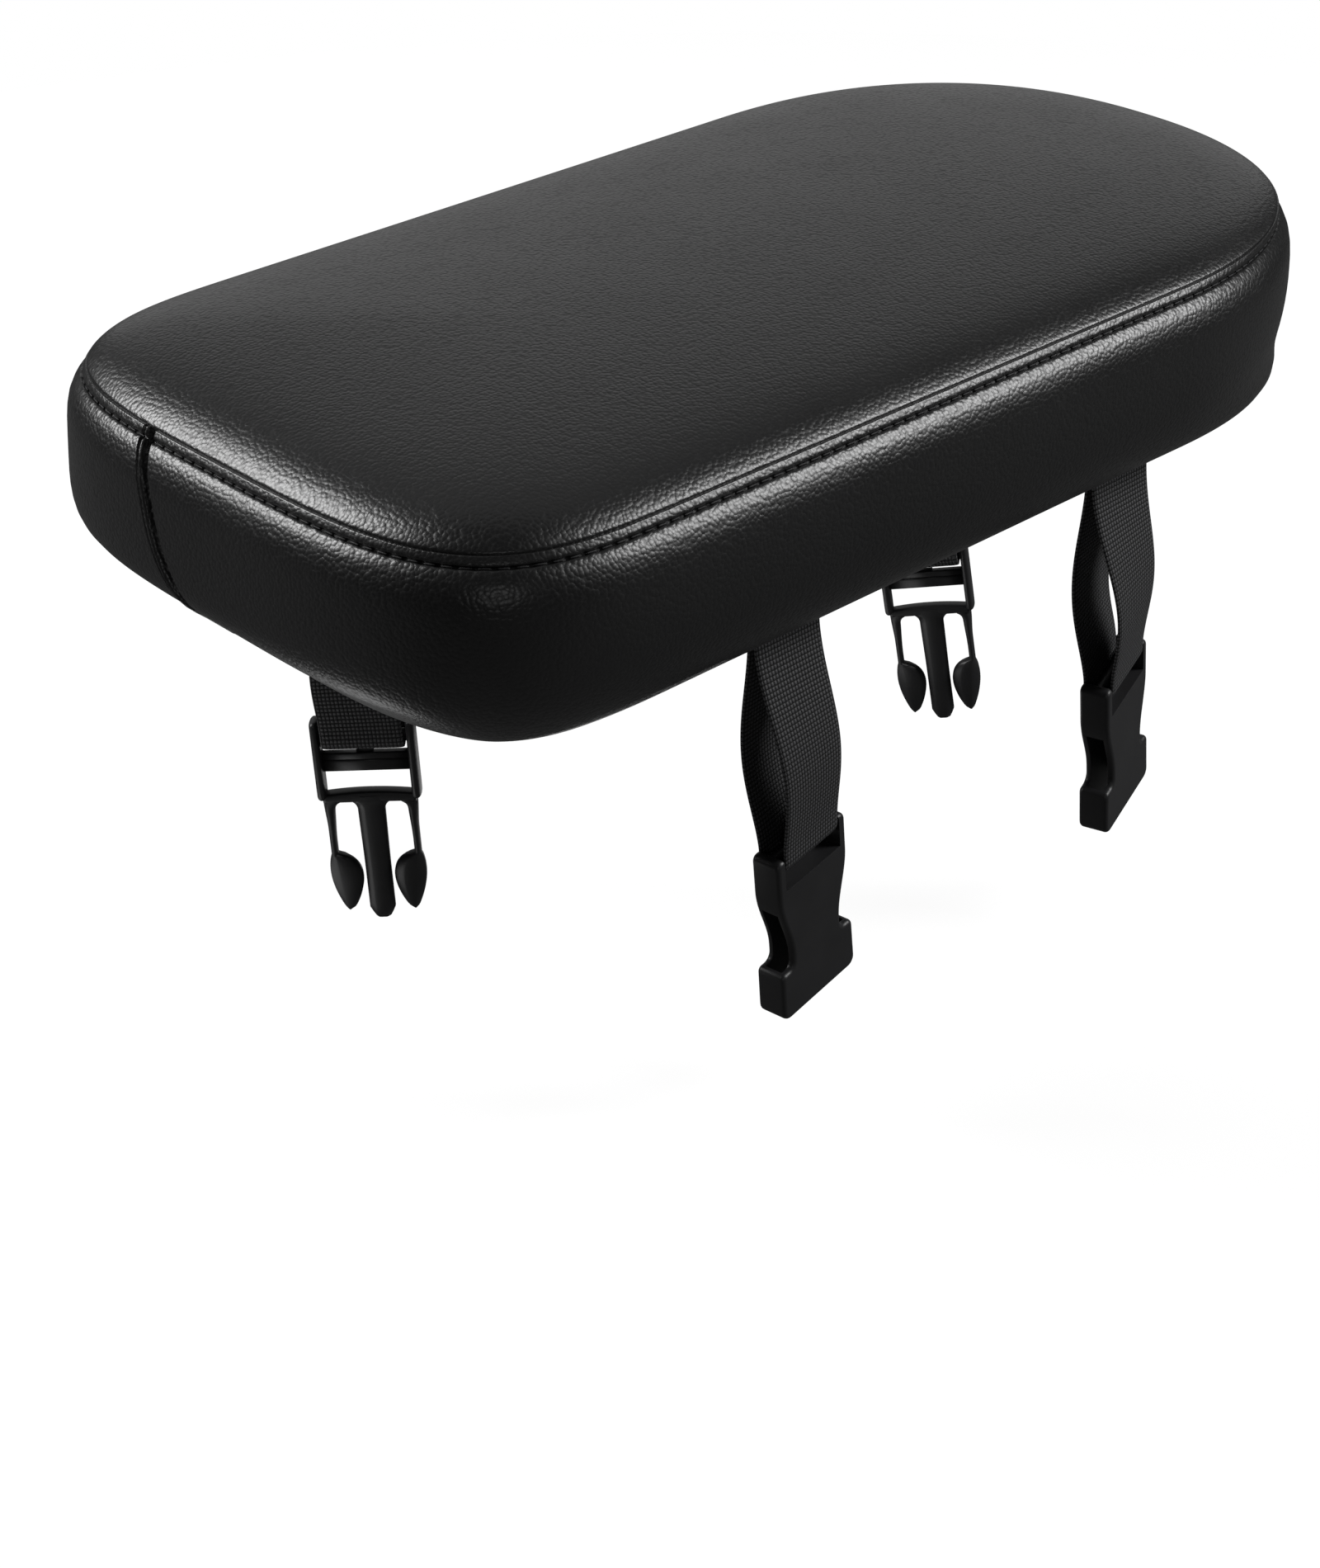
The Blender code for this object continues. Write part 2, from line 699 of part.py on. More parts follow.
def copy_tool(tool, pivot, suffix, tools):
    """A tool's copy under one buckle half's pivot, so that each half has tools at its own place."""
    copy = bpy.data.objects.new(tool.name + suffix, tool.data)
    for modifier in tool.modifiers:
        add_bevel(copy, modifier.width, modifier.segments)
    copy.parent = pivot
    hide_tool(copy)
    tools.objects.link(copy)
    return copy


def make_pivot(name, bar, heading, lean, parts):
    pivot = bpy.data.objects.new(name, None)
    pivot.empty_display_size = 0.01
    pivot.matrix_world = Matrix.Translation(bar) @ buckle_frame(heading, lean).to_4x4()
    parts.objects.link(pivot)
    return pivot


def make_buckle(name, mesh, pivot, steps, bevel, segments, material, parts, tools):
    obj = add_object(name, mesh.copy(), material, parts)
    obj.parent = pivot
    add_bevel(obj, bevel, segments)
    for tool, operation in steps:
        copy = copy_tool(tool, pivot, "_" + name, tools)
        add_boolean(obj, copy, operation)
    return obj


def build():
    clear_scene()
    parts = make_collection("rack_cushion")
    tools = make_collection("cutters")
    leather = make_material("leather", (0.018, 0.018, 0.019), 0.42)
    foam = make_material("foam", (0.62, 0.60, 0.52), 0.95)
    board = make_material("board", (0.03, 0.03, 0.032), 0.6)
    cloth = make_material("cloth", (0.025, 0.025, 0.027), 0.85)
    webbing = make_material("webbing", (0.02, 0.02, 0.022), 0.7)
    plastic = make_material("buckle_plastic", (0.015, 0.015, 0.016), 0.45)
    metal = make_material("rivet_steel", (0.55, 0.55, 0.56), 0.35, 1.0)

    slits = []
    pockets = []
    recesses = []
    holes = {}
    slit_top = BOARD_FOOT - GAP / 2
    for name, leave, bar, heading, lean, inward in strap_places():
        slit = add_box(
            f"slit_{name}",
            (WEBBING_WIDTH + 2 * SLIT_CLEARANCE, 2 * SLIT_HALF, slit_top * 2),
            (leave.x, leave.y, 0),
            tools,
        )
        run = FLAP_LENGTH + SLIT_HALF + GAP * 2
        pocket_foot = BOARD_FOOT - 1 * MM
        pocket = add_box(
            f"pocket_{name}",
            (WEBBING_WIDTH + 2 * SLIT_CLEARANCE, run, POCKET_CEILING - pocket_foot),
            (leave.x, leave.y + inward * (run / 2 - SLIT_HALF), (POCKET_CEILING + pocket_foot) / 2),
            tools,
        )
        recess_height = RIVET_HEAD + GAP
        recess = add_box(
            f"recess_{name}",
            (RIVET_SPACING + 2 * (RIVET_HEAD_RADIUS + GAP), 2 * (RIVET_HEAD_RADIUS + GAP), recess_height * 2),
            (leave.x, leave.y + inward * RIVET_REACH, FOAM_FOOT),
            tools,
        )
        slits.append(slit)
        pockets.append(pocket)
        recesses.append(recess)
        holes[name] = []
        for k, point in enumerate(rivet_points(leave, inward)):
            centre = point + Vector((0, 0, BOARD_TOP / 2))
            hole = add_cylinder(
                f"rivet_hole_{name}_{k + 1}",
                RIVET_SHANK_RADIUS + GAP,
                BOARD_TOP * 2,
                centre,
                "Z",
                12,
                tools,
            )
            holes[name].append(hole)
    for tool in tools.objects:
        hide_tool(tool)

    every_hole = [hole for pair in holes.values() for hole in pair]
    make_top_panel(leather, parts)
    make_side_band(leather, parts, slits[:2])
    make_foam_pad(foam, parts, recesses)
    make_plate("base_board", BOARD_INSET, BOARD_FOOT, BOARD_THICKNESS, board, parts, pockets + every_hole)
    make_plate("underside_cover", CLOTH_INSET, 0, CLOTH, cloth, parts, slits)

    female_slot, female_socket, female_bar = make_female_tools(tools)
    female_steps = ((female_slot, "DIFFERENCE"), (female_socket, "DIFFERENCE"), (female_bar, "UNION"))
    male_steps = [(tool, "UNION") for tool in make_male_tools(tools)]
    female_mesh = make_female_mesh()
    male_mesh = make_male_mesh()
    for tool in tools.objects:
        hide_tool(tool)

    for name, leave, bar, heading, lean, inward in strap_places():
        place = (leave, bar, heading, lean, inward)
        make_webbing(f"webbing_{name}", place, webbing, parts, holes[name])
        for k, point in enumerate(rivet_points(leave, inward)):
            make_rivet(f"strap_rivet_{name}_{k + 1}", point, metal, parts)
        pivot = make_pivot(f"pivot_{name}", bar, heading, lean, parts)
        kind, number = name.split("_")
        if kind == "female":
            choice = (female_mesh, pivot, female_steps, FEMALE_EDGE, 2)
        else:
            choice = (male_mesh, pivot, male_steps, MALE_EDGE, 1)
        make_buckle(f"{kind}_buckle_{number}", *choice, plastic, parts, tools)


build()
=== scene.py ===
"""Looks of the rack cushion: the stitched leather cover, the webbing loops and the buckle halves, built
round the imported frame. Metres, in the frame's axes: +Z up, +X towards the round end, underside at Z 0.
"""

import json
import math

import bmesh
import bpy
import numpy as np
from mathutils import Matrix, Vector


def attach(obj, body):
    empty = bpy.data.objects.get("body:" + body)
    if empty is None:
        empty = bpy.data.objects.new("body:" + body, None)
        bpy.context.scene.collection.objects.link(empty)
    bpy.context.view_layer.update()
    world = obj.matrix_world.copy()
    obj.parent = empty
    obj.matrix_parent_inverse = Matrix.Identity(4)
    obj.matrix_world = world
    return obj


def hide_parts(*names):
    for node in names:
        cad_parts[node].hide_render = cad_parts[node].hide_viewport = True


bl_info = {
    "name": "Rack Cushion",
    "version": (1, 0, 0),
    "blender": (4, 5, 0),
    "location": "View3D > Sidebar > Rack Cushion",
    "description": "Builds the cushion's cover, webbing, buckle halves and studio round its packed frame",
    "category": "Object",
}

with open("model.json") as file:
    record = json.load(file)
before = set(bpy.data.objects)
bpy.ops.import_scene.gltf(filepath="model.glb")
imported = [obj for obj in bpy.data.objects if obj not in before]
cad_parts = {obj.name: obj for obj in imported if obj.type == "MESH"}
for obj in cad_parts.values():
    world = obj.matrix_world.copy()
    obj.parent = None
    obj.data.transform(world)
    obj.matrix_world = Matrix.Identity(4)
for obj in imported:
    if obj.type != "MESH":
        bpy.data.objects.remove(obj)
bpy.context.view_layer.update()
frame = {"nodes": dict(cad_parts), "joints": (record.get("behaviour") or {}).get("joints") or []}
MM = 0.001

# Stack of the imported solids, from below: cloth, hem, board, foam
GAP = 0.3 * MM
CLOTH = 0.8 * MM
CLOTH_INSET = 9.0 * MM
HEM_FOOT = 1.1 * MM
FOAM_FOOT = 8.7 * MM
HEM_WIDTH = 11 * MM
FOOT_INSET = 9.0 * MM
FOOT_RISE = 1.4 * MM

# Webbing stack: middle heights of its two layers in the board, and its bends
UPPER_LAYER = 5.1 * MM
LOWER_LAYER = 3.6 * MM
LAYER_PITCH = 1.5 * MM
BEND_RADIUS = 1.0 * MM
FLAP_LENGTH = 24 * MM
LOOP_RADIUS = 3.6 * MM
BIGHT_RISE = 1.1 * MM
SLIT_CLEARANCE = 0.35 * MM
RIVET_SPACING = 10 * MM
RIVET_REACH = 15 * MM

# Depth of the trough of the band's upright seam, and how far below the welt the stitched groove runs
CLOSING_DEPTH = 1.5 * MM
GROOVE_SHIFT = 0.15 * MM

# Where each loop leaves the underside, and the side that its ends turn to in the board
STRAPS = {
    "female_1": (-51.5 * MM, -66 * MM, 1),
    "female_2": (61.5 * MM, -66 * MM, 1),
    "male_1": (-99 * MM, 35 * MM, -1),
    "male_2": (99 * MM, 35 * MM, -1),
}

# Buckle halves, in their own axes: X along the webbing bar, Z up towards the webbing
BAR_RADIUS = 1.6 * MM
BAR_OPENING = 20.8 * MM
SOCKET_WIDTH = 24.4 * MM
SOCKET_HEIGHT = 4.6 * MM
SOCKET_DEPTH = 35 * MM
SOCKET_MIDDLE = -27 * MM

# Fork of a male half: where its arms and prong start, the top of the gaps between them, and its rounding
FORK_TOP = -16.2 * MM
GAP_TOP = -18.2 * MM
GAP_ROUND = 2.56 * MM
LEAF_TOP = -33.5 * MM
PRONG_TIP = -52 * MM


# Settings

def length(name, description, default):
    return bpy.props.FloatProperty(
        name=name, description=description, default=default, precision=5, subtype="DISTANCE", unit="LENGTH"
    )


def share(name, description, default):
    return bpy.props.FloatProperty(
        name=name, description=description, default=default, min=0, max=1, subtype="FACTOR"
    )


def colour(name, description, default):
    return bpy.props.FloatVectorProperty(
        name=name, description=description, default=default, size=3, min=0, max=1, subtype="COLOR"
    )


def brightness(name, description, default):
    return bpy.props.FloatProperty(name=name, description=description, default=default, unit="NONE")


class CoverSizes(bpy.types.PropertyGroup):
    length: length("Length", "Length of the cushion along its seam line", 300 * MM)
    width: length("Width", "Width of the cushion along its seam line", 158 * MM)
    flat_end: length("Flat end", "How far the flatter end's curve reaches along the cushion", 60 * MM)
    round_end: length("Round end", "How far the round end's curve reaches along the cushion", 86 * MM)
    seam_height: length("Seam height", "Height of the seam above the underside", 48 * MM)
    edge_rise: length("Edge rise", "How far the top panel rises close to its seam", 4.5 * MM)
    edge_run: length("Edge run", "Distance in from the seam over which it rises", 5.6 * MM)
    crown: length("Crown", "How far the middle of the top stands above its edge", 4.3 * MM)
    bulge: length("Bulge", "How far the side band stands out past the seam", 5.5 * MM)
    leather: length("Leather", "Thickness of the cover", 1.0 * MM)
    crease: length("Crease", "Depth of the seam's crease", 0.5 * MM)
    welt: length("Welt", "Width of the stitched strip under the seam", 2.5 * MM)
    groove: length("Groove", "Depth of the stitched groove", 0.9 * MM)
    stitch: length("Stitch", "Length of one stitch with its gap", 3.6 * MM)
    closing: length("Closing seam", "Place across the flat end of the band's upright seam", 25 * MM)


class StrapSizes(bpy.types.PropertyGroup):
    width: length("Webbing width", "Width of the webbing", 20 * MM)
    thickness: length("Webbing thickness", "Thickness of the webbing", 1.2 * MM)
    bulge: length("Loop bulge", "How far the middle of a loop's legs stands out", 3.6 * MM)
    pick: length("Weft pitch", "Distance from one weft row to the next", 1.2 * MM)
    end: length("Warp pitch", "Distance from one warp thread to the next", 0.95 * MM)


class Colours(bpy.types.PropertyGroup):
    leather: colour("Leather", "Artificial leather", (0.0055, 0.0055, 0.0057))
    leather_gloss: share("Leather roughness", "Roughness of the leather", 0.33)
    thread: colour("Thread", "Sewing thread", (0.010, 0.010, 0.011))
    webbing: colour("Webbing", "Woven webbing", (0.020, 0.020, 0.021))
    plastic: colour("Plastic", "Moulded buckle halves", (0.016, 0.016, 0.017))
    plastic_gloss: share("Plastic roughness", "Roughness of the buckle halves", 0.42)
    board: colour("Board", "Moulded board", (0.030, 0.030, 0.032))
    foam: colour("Foam", "Open-cell foam", (0.62, 0.60, 0.52))
    cloth: colour("Cloth", "Cloth under the board", (0.025, 0.025, 0.027))
    metal: colour("Metal", "Rivets", (0.55, 0.55, 0.56))


class StageSizes(bpy.types.PropertyGroup):
    floor: length("Floor height", "Height of the floor under the cushion", -136 * MM)
    key: brightness("Key light", "Brightness of the front softbox", 15.0)
    rim: brightness("Back light", "Brightness of the back softbox", 15.5)
    card: brightness("Card", "Brightness of the card behind", 0.50)
    over: brightness("Overhead", "Brightness of the overhead panel", 0.20)
    low: brightness("Low lights", "Brightness of the lamps by the floor", 1.2)
    front: brightness("Front light", "Brightness of the small lamp by the camera", 3.0)
    fill: share("Fill", "Brightness of the room round the object", 0.03)


def cover():
    return bpy.context.scene.cushion_cover


def straps():
    return bpy.context.scene.cushion_straps


def colours():
    return bpy.context.scene.cushion_colours


def studio():
    return bpy.context.scene.cushion_stage


# Lines and grids

def travelled(line):
    """Distance along a line of points at each of them."""
    return np.concatenate([[0], np.cumsum(np.linalg.norm(np.diff(line, axis=0), axis=1))])


def read_line(places, at, line):
    """Pairs from the two columns of a line, at places along it; at holds the place of each of its rows."""
    return np.stack([np.interp(places, at, line[:, k]) for k in range(2)], axis=-1)


def unit(vectors):
    """Vectors made one long."""
    return vectors / np.linalg.norm(vectors, axis=-1, keepdims=True)


def spline(keys, count):
    """A smooth line through the keys: cubic pieces whose slope at a key is that from its neighbour before to
    its neighbour after, at even steps of the distance between keys."""
    keys = np.asarray(keys, float)
    at = travelled(keys)
    slope = np.gradient(keys, at, axis=0)
    wanted = np.linspace(0, at[-1], count)
    i = np.clip(np.searchsorted(at, wanted) - 1, 0, len(at) - 2)
    run = (at[i + 1] - at[i])[:, None]
    t = (wanted[:, None] - at[i][:, None]) / run
    start = (2 * t**3 - 3 * t**2 + 1) * keys[i] + (t**3 - 2 * t**2 + t) * run * slope[i]
    end = (3 * t**2 - 2 * t**3) * keys[i + 1] + (t**3 - t**2) * run * slope[i + 1]
    return start + end


def hill(distance, width):
    """A bump of height 1: e to the minus square of distance over width."""
    return np.exp(-((distance / width) ** 2))


def step_up(value):
    """Smooth step from 0 to 1: 3 t squared minus 2 t cubed."""
    t = np.clip(value, 0, 1)
    return t * t * (3 - 2 * t)


def plan_line():
    """The seam line from above at 4000 even steps, anticlockwise from the round end's middle. Each end is a
    super-ellipse, |along / depth| to the power p plus |across / half width| to the power p = 1."""
    sizes = cover()
    half_width = sizes.width / 2
    steps = 4000
    angle = np.linspace(-np.pi / 2, np.pi / 2, steps + 1)

    def end(depth, power, side):
        along = np.abs(np.cos(angle)) ** (2 / power) * depth
        across = np.sign(angle) * np.abs(np.sin(angle)) ** (2 / power) * half_width
        return side * np.stack([sizes.length / 2 - depth + along, across], axis=1)

    right = end(sizes.round_end, 2.26, 1)
    left = end(sizes.flat_end, 3.74, -1)
    line = np.concatenate([right[steps // 2:], left, right[:steps // 2 + 1]])
    along = travelled(line)
    at = np.linspace(0, along[-1], steps + 1)
    even = read_line(at, along, line)
    slope = unit(np.roll(even[:-1], -6, axis=0) - np.roll(even[:-1], 6, axis=0))
    normal = np.stack([slope[:, 1], -slope[:, 0]], axis=1)
    return at, even, np.concatenate([normal, normal[:1]])


def plan_points(places):
    """Points of the seam line and its outward directions, at distances along it."""
    at, line, normal = plan_line()
    return read_line(places, at, line), unit(read_line(places, at, normal))


def perimeter():
    return plan_line()[0][-1]


def stitch_count():
    return round(perimeter() / cover().stitch)


def grid_faces(rows, columns, looped=False):
    """Quads between the rows of a grid whose last column joins its first, as its last row does if looped."""
    row, column = np.meshgrid(np.arange(rows - 1 + looped), np.arange(columns), indexing="ij")
    following = (column + 1) % columns
    here, below = row * columns, (row + 1) % rows * columns
    quad = np.stack([here + column, below + column, below + following, here + following], axis=-1)
    return quad.reshape(-1, 4)


def tube(points):
    """A grid of points with the faces between its rows and its two end caps."""
    rows, columns = points.shape[:2]
    first = np.arange(columns)
    return points, grid_faces(rows, columns), (first, first[::-1] + (rows - 1) * columns)


def raised(flat, height):
    """Plan points at a height."""
    return np.concatenate([flat, np.broadcast_to(height, flat.shape[:2])[..., None]], axis=2)


def add_object(name, data):
    added = bpy.data.objects.new(name, data)
    bpy.context.scene.collection.objects.link(added)
    return added


def make_piece(name, points, faces, material, weave=None, flat=()):
    """A mesh object at the origin: doubles merged, faces outwards. weave holds a UV pair for each point, and
    flat the numbers of the faces that are shaded flat."""
    mesh = bpy.data.meshes.new(name)
    mesh.from_pydata(np.reshape(points, (-1, 3)).tolist(), [], faces)
    mesh.polygons.foreach_set("use_smooth", np.ones(len(mesh.polygons), bool))
    for face in flat:
        mesh.polygons[face].use_smooth = False
    if weave is not None:
        layer = mesh.uv_layers.new(name="weave")
        corners = np.zeros(len(mesh.loops), np.int32)
        mesh.loops.foreach_get("vertex_index", corners)
        layer.data.foreach_set("uv", weave[corners].astype(np.float32).ravel())
    shell = bmesh.new()
    shell.from_mesh(mesh)
    bmesh.ops.remove_doubles(shell, verts=shell.verts, dist=0.002 * MM)
    bmesh.ops.recalc_face_normals(shell, faces=shell.faces)
    shell.to_mesh(mesh)
    shell.free()
    mesh.materials.append(material)
    return add_object(name, mesh)


def grid_piece(name, rows, material, looped=False):
    faces = grid_faces(*rows.shape[:2], looped)
    return make_piece(name, rows, faces.tolist(), material)


def dress(piece, node, body="cushion"):
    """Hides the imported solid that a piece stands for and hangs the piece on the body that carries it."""
    if node:
        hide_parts(node)
    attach(piece, body)
    return piece


class Bundle:
    """Closed shells gathered into one mesh."""

    def __init__(self):
        self.points, self.faces, self.flat, self.count = [], [], [], 0

    def add(self, points, faces, caps):
        points = points.reshape(-1, 3)
        self.faces += (faces + self.count).tolist()
        for cap in caps:
            self.flat.append(len(self.faces))
            self.faces.append([int(corner) + self.count for corner in cap])
        self.points.append(points)
        self.count += len(points)

    def make(self, name, material, weave=None):
        return make_piece(name, np.concatenate(self.points), self.faces, material, weave, self.flat)


# Shader maths

class Wire:
    """An output socket whose arithmetic adds Math nodes."""

    def __init__(self, finish, socket):
        self.finish, self.socket = finish, socket

    def maths(self, operation, *values):
        return self.finish.node("ShaderNodeMath", {"operation": operation}, dict(enumerate(values)))

    def __add__(self, other):
        return self.maths("ADD", self, other)

    def __sub__(self, other):
        return self.maths("SUBTRACT", self, other)

    def __rsub__(self, other):
        return self.maths("SUBTRACT", other, self)

    def __mul__(self, other):
        return self.maths("MULTIPLY", self, other)

    def __pow__(self, other):
        return self.maths("POWER", self, other)

    __radd__ = __add__

    def sine(self):
        return self.maths("SINE", self)

    def size(self):
        return self.maths("ABSOLUTE", self)

    def clip(self):
        return self.finish.node("ShaderNodeClamp", {}, {"Value": self})


class Finish:
    """A material whose nodes are added by node() and fed to its shader by feed()."""

    def __init__(self, name):
        self.material = bpy.data.materials.new(name)
        self.material.use_nodes = True
        self.tree = self.material.node_tree
        self.shader = self.tree.nodes["Principled BSDF"]

    def set_input(self, socket, value):
        if isinstance(value, Wire):
            self.tree.links.new(value.socket, socket)
        else:
            socket.default_value = value

    def node(self, kind, settings, values, output=0):
        node = self.tree.nodes.new(kind)
        for name, value in settings.items():
            setattr(node, name, value)
        for name, value in values.items():
            self.set_input(node.inputs[name], value)
        return Wire(self, node.outputs[output])

    def feed(self, values):
        for name, value in values.items():
            self.set_input(self.shader.inputs[name], value)
        return self.material

    def place(self):
        return self.node("ShaderNodeTexCoord", {}, {}, "Object")

    def split(self, vector):
        """The X and Y of a vector."""
        x = self.node("ShaderNodeSeparateXYZ", {}, {"Vector": vector})
        return x, Wire(self, x.socket.node.outputs["Y"])

    def noise(self, scale, detail=2.0, roughness=0.5, output="Fac"):
        values = {"Vector": self.place(), "Scale": scale, "Detail": detail, "Roughness": roughness}
        return self.node("ShaderNodeTexNoise", {}, values, output)

    def tint(self, factor, colour, dark, light):
        """From dark times the colour to light times it as factor goes from 0 to 1."""
        shades = ((*(value * times for value in colour), 1.0) for times in (dark, light))
        values = dict(zip(("Factor", 6, 7), (factor, *shades)))
        return self.node("ShaderNodeMix", {"data_type": "RGBA"}, values, 2)

    def bump(self, height, distance):
        return self.node("ShaderNodeBump", {}, {"Distance": distance, "Height": height})


def once(make):
    """The material that make builds from an empty finish with its own name, built the first time and found
    by that name afterwards."""
    def found():
        return bpy.data.materials.get(make.__name__) or make(Finish(make.__name__))
    return found


def grained(finish, grain, tint, roughness, spread, depth, settings=()):
    """A material that a single grain varies: its colour, its roughness by spread and its relief by depth."""
    return finish.feed({
        "Base Color": finish.tint(grain, *tint),
        "Roughness": roughness + grain * spread,
        "Normal": finish.bump(grain, depth),
        **dict(settings),
    })


@once
def leather_finish(finish):
    """Pebble grain: cells a millimetre across with soft creases between them, drawn out of round by noise,
    over a finer grain; slightly glossier on the pebbles than in the creases."""
    place = finish.place()
    drift = finish.noise(420, output="Color")
    bent = finish.node(
        "ShaderNodeVectorMath", {"operation": "MULTIPLY_ADD"}, {0: drift, 1: (0.0006,) * 3, 2: place}
    )
    cells = {"Vector": bent, "Scale": 1050, "Smoothness": 0.3, "Randomness": 0.85}
    middle = finish.node("ShaderNodeTexVoronoi", {"feature": "SMOOTH_F1"}, cells, "Distance")
    pebble = (1 - (middle * 1.25) ** 2).clip()
    broad = finish.noise(38, 3.0)
    fine = finish.noise(3600)
    height = pebble + fine * 0.08 + finish.noise(260) * 0.15
    return finish.feed({
        "Base Color": finish.tint((pebble * 0.7 + broad * 0.4).clip(), colours().leather, 0.55, 1.2),
        "Roughness": colours().leather_gloss + (1 - pebble) * 0.10 + (broad - 0.5) * 0.08,
        "Specular IOR Level": 0.75,
        "Normal": finish.bump(height, 0.075 * MM),
    })


@once
def thread_finish(finish):
    """Twisted thread: fine uneven ridges."""
    twist = finish.noise(2600, 1.0)
    return grained(finish, twist, (colours().thread, 0.5, 1.6), 0.55, 0.2, 0.05 * MM)


@once
def webbing_finish(finish):
    """Warp-faced weave from the ribbon's own UV in millimetres: a raised thread in each cell of the warp and
    weft pitches, as the root of a sine across times that of a sine along, with dark gaps between them. Its
    colour holds painted light: the raised threads are painted bright (painted highlight) and the gaps dark
    (painted shade)."""
    uv = finish.node("ShaderNodeUVMap", {"uv_map": "weave"}, {})
    across, along = finish.split(uv)
    warp_pitch = straps().end / MM
    weft_pitch = straps().pick / MM
    jitter = (finish.noise(900, 1.0) - 0.5) * 0.5
    warp = (across * (math.pi / warp_pitch) + jitter).sine().size() ** 0.5
    weft = (along * (math.pi / weft_pitch) + jitter).sine().size() ** 0.6
    fibre = finish.noise(5200, 1.0)
    # Mask of painted light: high on the raised threads (painted highlight), low in the gaps between them
    # (painted shade); it also sets the roughness
    painted_thread_light = (warp * weft * 1.5 + fibre * 0.2 - 0.54).clip()
    return finish.feed({
        # Base colour from 0.04 to 3.5 times the webbing colour: painted shade in the gaps, painted highlight
        # on the threads
        "Base Color": finish.tint(painted_thread_light, colours().webbing, 0.04, 3.5),
        "Roughness": 0.56 + (1 - painted_thread_light) * 0.2,
        "Normal": finish.bump(warp * weft + fibre * 0.08, 0.30 * MM),
    })


@once
def plastic_finish(finish):
    """Satin moulded plastic: a very fine spark-eroded grain and faint flow clouds."""
    grain = finish.noise(3200)
    cloud = finish.noise(90, 3.0)
    return finish.feed({
        "Base Color": finish.tint(cloud, colours().plastic, 0.75, 1.25),
        "Roughness": colours().plastic_gloss + (cloud - 0.5) * 0.12 + (grain - 0.5) * 0.06,
        "Normal": finish.bump(grain, 0.018 * MM),
    })


@once
def board_finish(finish):
    """Matt moulded board with a pitted grain."""
    grain = finish.noise(1400, 3.0)
    return grained(finish, grain, (colours().board, 0.7, 1.3), 0.58, 0.15, 0.05 * MM)


@once
def foam_finish(finish):
    """Open-cell foam: pits about a millimetre across."""
    cells = finish.node("ShaderNodeTexVoronoi", {}, {"Vector": finish.place(), "Scale": 1100}, "Distance")
    return finish.feed({
        "Base Color": finish.tint(cells.clip(), colours().foam, 0.55, 1.0),
        "Roughness": 0.95,
        "Normal": finish.bump(cells, 0.3 * MM),
    })


@once
def cloth_finish(finish):
    """Bonded cloth: matted fibres with a grid of small pressed dots."""
    fibre = finish.noise(1500, 4.0, 0.7)
    x, y = finish.split(finish.place())
    turn = math.pi / (1.6 * MM)
    dots = ((x + y) * turn).sine() * ((x - y) * turn).sine()
    pressed = (dots.size() * 2 - 1).clip()
    return finish.feed({
        "Base Color": finish.tint((fibre - pressed * 0.3).clip(), colours().cloth, 0.6, 1.7),
        "Roughness": 0.86,
        "Normal": finish.bump(fibre * 0.5 - pressed, 0.12 * MM),
    })


@once
def metal_finish(finish):
    """Zinc-plated steel, faintly mottled."""
    mark = finish.noise(1800, 3.0, 0.6)
    return grained(finish, mark, (colours().metal, 0.8, 1.0), 0.28, 0.2, 0.01 * MM, {"Metallic": 1.0})


# Cover

def top_rise(inset):
    """Height of the top over the seam: edge rise times 1 - e to the -inset / run, plus a parabola's crown."""
    sizes = cover()
    half = sizes.width / 2
    edge = sizes.edge_rise * (1 - np.exp(-inset / sizes.edge_run))
    return edge + sizes.crown * (1 - (1 - np.clip(inset / half, 0, 1)) ** 2)


def dome_points(point, out, inset):
    """Plan points at insets from the seam: each column is a cubic from its seam point, leaving square to the
    seam, to the nearest point of the cushion's middle line."""
    sizes = cover()
    half = sizes.width / 2
    reach = sizes.length / 2 - half
    spine = np.stack([np.clip(point[:, 0], -reach, reach), np.zeros(len(point))], axis=1)
    t = (inset / half)[:, None, None]
    chord = spine - point
    return (
        (2 * t**3 - 3 * t**2 + 1) * point
        + (t**3 - 2 * t**2 + t) * (-out * half)
        + (3 * t**2 - 2 * t**3) * spine
        + (t**3 - t**2) * chord
    )


def seam_crease(away, depth):
    """The seam's crease: a narrow bump and a tenth of a wide one, by distance from the seam."""
    return depth * (0.9 * hill(away, 0.19 * MM) + 0.1 * hill(away, 0.7 * MM))


def dome_rows(point, out, inset, drop, crease=0.0):
    """Rows of the top's surface at insets, moved inwards square to the surface by drop, with the seam's
    crease of that depth pressed in at its edge. The top rises by 24% more at the flat end and as much less
    at the round end."""
    fullness = 0.24
    lean = np.arctan(np.gradient(top_rise(inset), inset))
    pressed = drop + seam_crease(inset, crease)
    flat = dome_points(point, out, np.minimum(inset + pressed * np.sin(lean), cover().width / 2))
    fuller = 1 - fullness * flat[..., 0] / (cover().length / 2)
    return raised(
        flat, cover().seam_height + top_rise(inset)[:, None] * fuller - (pressed * np.cos(lean))[:, None]
    )


def build_top():
    """Top panel: its outer face from the middle out to the seam and its inner face back to the middle."""
    sizes = cover()
    columns = 1000
    point, out = plan_points(np.arange(columns) * perimeter() / columns)
    half = sizes.width / 2
    inset = half * np.linspace(0, 1, 46) ** 2.2
    outer = dome_rows(point, out, inset, 0.0, sizes.crease)[::-1]
    inner_inset = half * np.linspace(0, 1, 14) ** 1.8
    inner = dome_rows(point, out, inner_inset, sizes.leather)
    piece = grid_piece("top_cover", np.concatenate([outer, inner]), leather_finish())
    return dress(piece, "top_panel")


